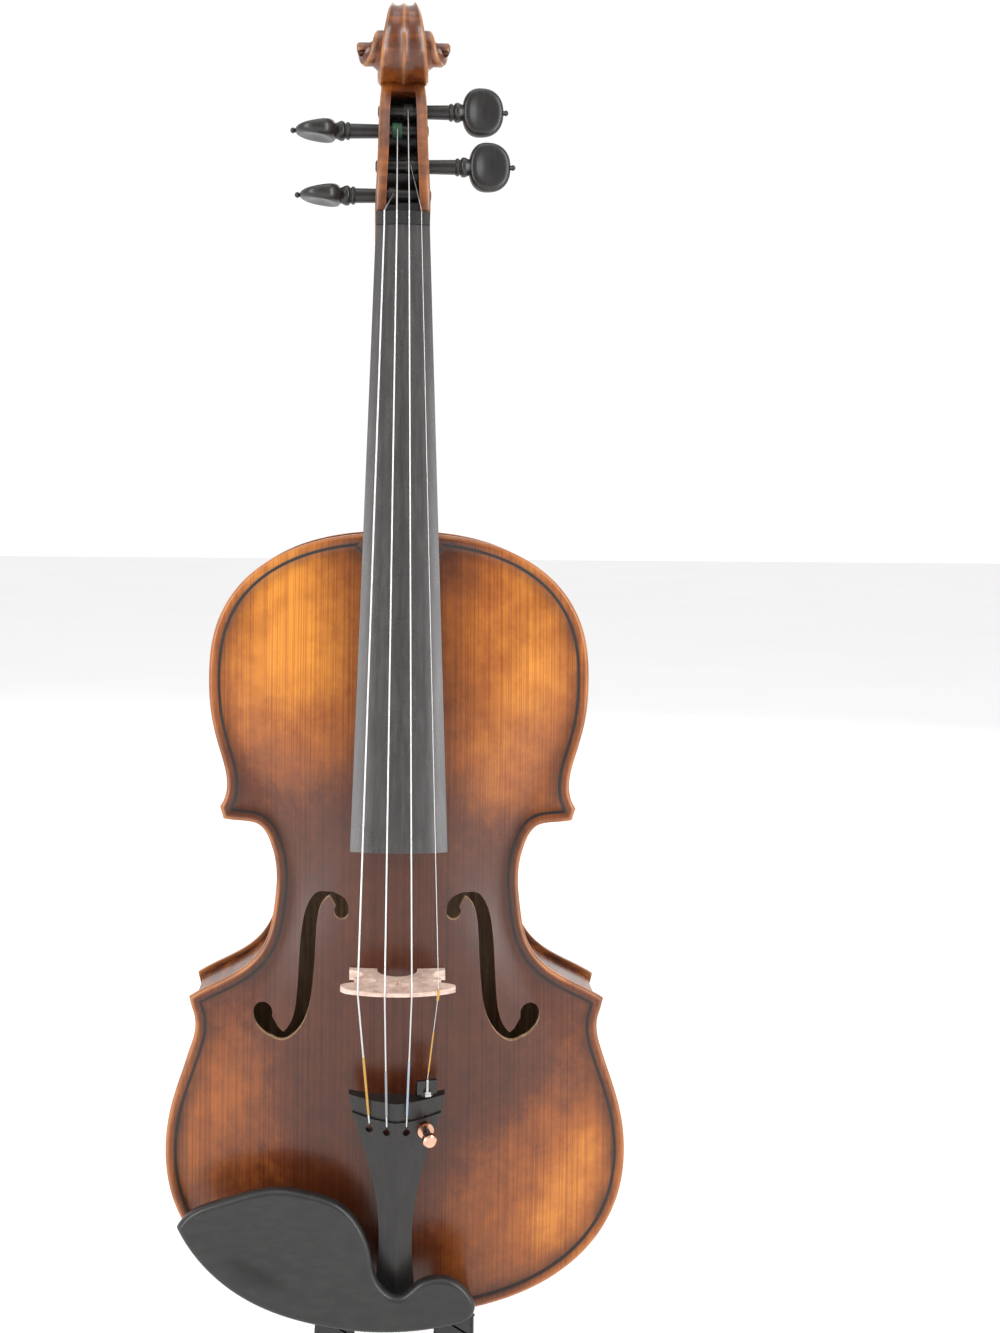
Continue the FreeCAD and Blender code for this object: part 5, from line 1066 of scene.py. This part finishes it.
def head_spot(share, angle, sign):
    """A point of the thumb piece in mm from its middle: along the peg, across it and in depth."""
    cosine, sine = math.cos(angle), math.sin(angle)
    along = HEAD_LONG / 2 * math.copysign(abs(cosine) ** 0.82, cosine) * share
    across = HEAD_WIDE / 2 * math.copysign(abs(sine) ** 0.86, sine) * share
    across *= 1 - 0.07 * cosine * share
    rim = (1 - share ** 8) ** 0.5
    dish = HEAD_DISH * math.cos(math.pi / 2 * min(share / 0.88, 1.0)) ** 1.3
    taper = 0.68 - 0.34 * (along / (HEAD_LONG / 2))
    return along, across, sign * HEAD_THICK / 2 * taper * (1 - dish) * rim


def peg_head(string, centre, axis):
    """Flat thumb piece with a hollow in each face, a rounded rim and its thick end at the collar."""
    wide = Vector((0, 0, 1)) if PEG_SIDE[string] > 0 else Vector((0, 1, 0))
    deep = axis.cross(wide)
    middle = centre + axis * (PEG_STAND[string] + HEAD_LONG / 2 - 0.5) * MM
    angles = [2 * math.pi * k / HEAD_COUNT for k in range(HEAD_COUNT)]
    skins = []
    for sign in (1, -1):
        rings = []
        for share in HEAD_SHARES:
            spots = [head_spot(share, angle, sign) for angle in angles]
            rings.append([middle + (axis * along + wide * across + deep * depth) * MM
                          for along, across, depth in spots])
        skins.append(loft(rings, caps=False))
    return joined(skins)


def weld(points, faces):
    """The same skin with points that meet made one."""
    built = bmesh.new()
    verts = [built.verts.new(point) for point in points]
    for face in faces:
        built.faces.new([verts[k] for k in face])
    bmesh.ops.remove_doubles(built, verts=built.verts[:], dist=2e-6)
    return taken_from(built)


def make_pegs():
    for string in STRINGS:
        centre, axis = peg_line(string)
        head = weld(*peg_head(string, centre, axis))
        points, faces = joined(peg_shaft(string, centre, axis) + [head])
        add_piece("turned_peg_" + string, points, faces, "peg_" + string, ["ebony"],
                  ["peg_" + string], sharp=50.0)


# ---------------- chin rest

REST_EDGE = ((0.0, -2.4), (0.3, -1.4), (0.8, -0.65), (1.5, -0.18), (2.4, 0.0))
REST_INSETS = (0.3, 0.8, 1.5, 2.4, 3.6, 5.0, 7.0)
REST_THICK = 6.5
REST_SPACING = 2.2
REST_SEED_DEPTH = 7.6
REST_STEP = 1.2
DISH_DEPTH = 3.4
DISH_PLACE = (-58.0, -452.0)
DISH_REACH = (30.0, 17.0)
FOOT_WIDE = 16.0
FOOT_CHAMFER = 0.6


def rest_foot(left, right, low, high, levels):
    """A foot between two places across and two of z, through (level, swell in mm) sections."""
    middle = ((left + right) / 2, (low + high) / 2)
    rings = []
    for level, swell in levels:
        corners = []
        for x, z in ((left, low), (right, low), (right, high), (left, high)):
            dx, dz = math.copysign(1, x - middle[0]), math.copysign(1, z - middle[1])
            x, z = x + dx * swell * MM, z + dz * swell * MM
            pair = [(x - dx * FOOT_CHAMFER * MM, z), (x, z - dz * FOOT_CHAMFER * MM)]
            corners += pair if dx * dz > 0 else pair[::-1]
        rings.append([Vector((x, level, z)) for x, z in corners])
    return loft(rings)


def make_chin_rest():
    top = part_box("chinrest_plate")[0][1]
    outline = even_loop(level_outline("chinrest_plate", top), REST_STEP * MM)
    insets = [inset * MM for inset in REST_INSETS]
    plan = Plan(outline, [], insets, REST_SPACING * MM, REST_SEED_DEPTH * MM)
    depth = plan.edge / MM
    away = (plan.points / MM - DISH_PLACE) / DISH_REACH
    dish = DISH_DEPTH * np.exp(-(away ** 2).sum(axis=1)) * np.clip((depth - 2) / 12, 0, 1)
    edge = profile_at(REST_EDGE, depth)
    points, faces, _, _ = plan.shell(top - (edge - dish) * MM, top + (REST_THICK + edge) * MM)
    pads_low, pads_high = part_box("chinrest_cork")
    levels = ((pads_low[1], 0.0), (top + (REST_THICK - 3.0) * MM, 0.3), (top + 4.0 * MM, 1.2))
    feet = [rest_foot(left, left + FOOT_WIDE * MM, pads_low[2], pads_high[2], levels)
            for left in (pads_low[0], pads_high[0] - FOOT_WIDE * MM)]
    points, faces = joined([(list(map(Vector, points)), faces)] + feet)
    add_piece("carved_chin_rest", points, faces, "violin", ["rest"], ["chinrest_plate"],
              sharp=50.0)


# ---------------- silk on the strings

# Each string's wrapping: where it starts and ends along z in metres, its look, the string's radius in mm.
SILKS = {"g": (-0.3628, -0.3905, "gold_silk", 0.41), "d": (-0.3684, -0.3905, "grey_silk", 0.38),
         "a": (-0.3637, -0.3905, "blue_silk", 0.34), "e": (-0.3507, -0.3700, "gold_silk", 0.2)}
SILK_THICK = 0.13
SILK_TAPER = 0.8
TAIL_SPAN = (-0.396, -0.384)
NEAR = 0.002


def string_spot(name, low, high):
    """Middle of a string's points between two levels of z."""
    points, _ = mesh_arrays(name)
    near = points[(points[:, 2] > low) & (points[:, 2] < high)]
    return Vector((near.min(axis=0) + near.max(axis=0)) / 2)


def make_silks():
    bridge_low, bridge_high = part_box("bridge")
    for string, (start, end, look, radius) in SILKS.items():
        name = "string_" + string
        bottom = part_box(name)[0][2]
        top_spot = string_spot(name, bridge_low[2] - NEAR, bridge_high[2] + NEAR)
        tail = string_spot(name, *((bottom, bottom + NEAR) if string == "e" else TAIL_SPAN))
        line = (tail - top_spot).normalized()
        first = top_spot + line * ((start - top_spot.z) / line.z)
        last = top_spot + line * ((end - top_spot.z) / line.z)
        length = (last - first).length / MM
        thin, thick = radius * 0.9, radius + SILK_THICK
        profile = [(0, thin), (SILK_TAPER, thick), (length - SILK_TAPER, thick), (length, thin)]
        side = line.cross(Vector((1, 0, 0))).normalized()
        points, faces = turned(profile, first, line, side, 20)
        add_piece("silk_" + string, points, faces, "violin", [look], sharp=60.0)


# ---------------- floor

FLOOR_REACH = 8.0
FLOOR_STEPS = 24
FLOOR_GAP = 0.03


def make_floor():
    level = CAD_BOX[0][2] - FLOOR_GAP
    places = [FLOOR_REACH * (2 * k / FLOOR_STEPS - 1) for k in range(FLOOR_STEPS + 1)]
    points = [(x, y, level) for x in places for y in places]
    count = len(places)
    corners = [i * count + j for i in range(FLOOR_STEPS) for j in range(FLOOR_STEPS)]
    faces = [(k, k + count, k + count + 1, k + 1) for k in corners]
    mesh = bpy.data.meshes.new("studio_floor")
    mesh.from_pydata(points, [], faces)
    mesh.materials.append(floor_look())
    placed("studio_floor", mesh)


make_camera()
make_lights()
make_surroundings()
dress_frame()
make_plates()
make_neck()
make_pegs()
make_chin_rest()
make_silks()
make_floor()

bpy.context.view_layer.update()
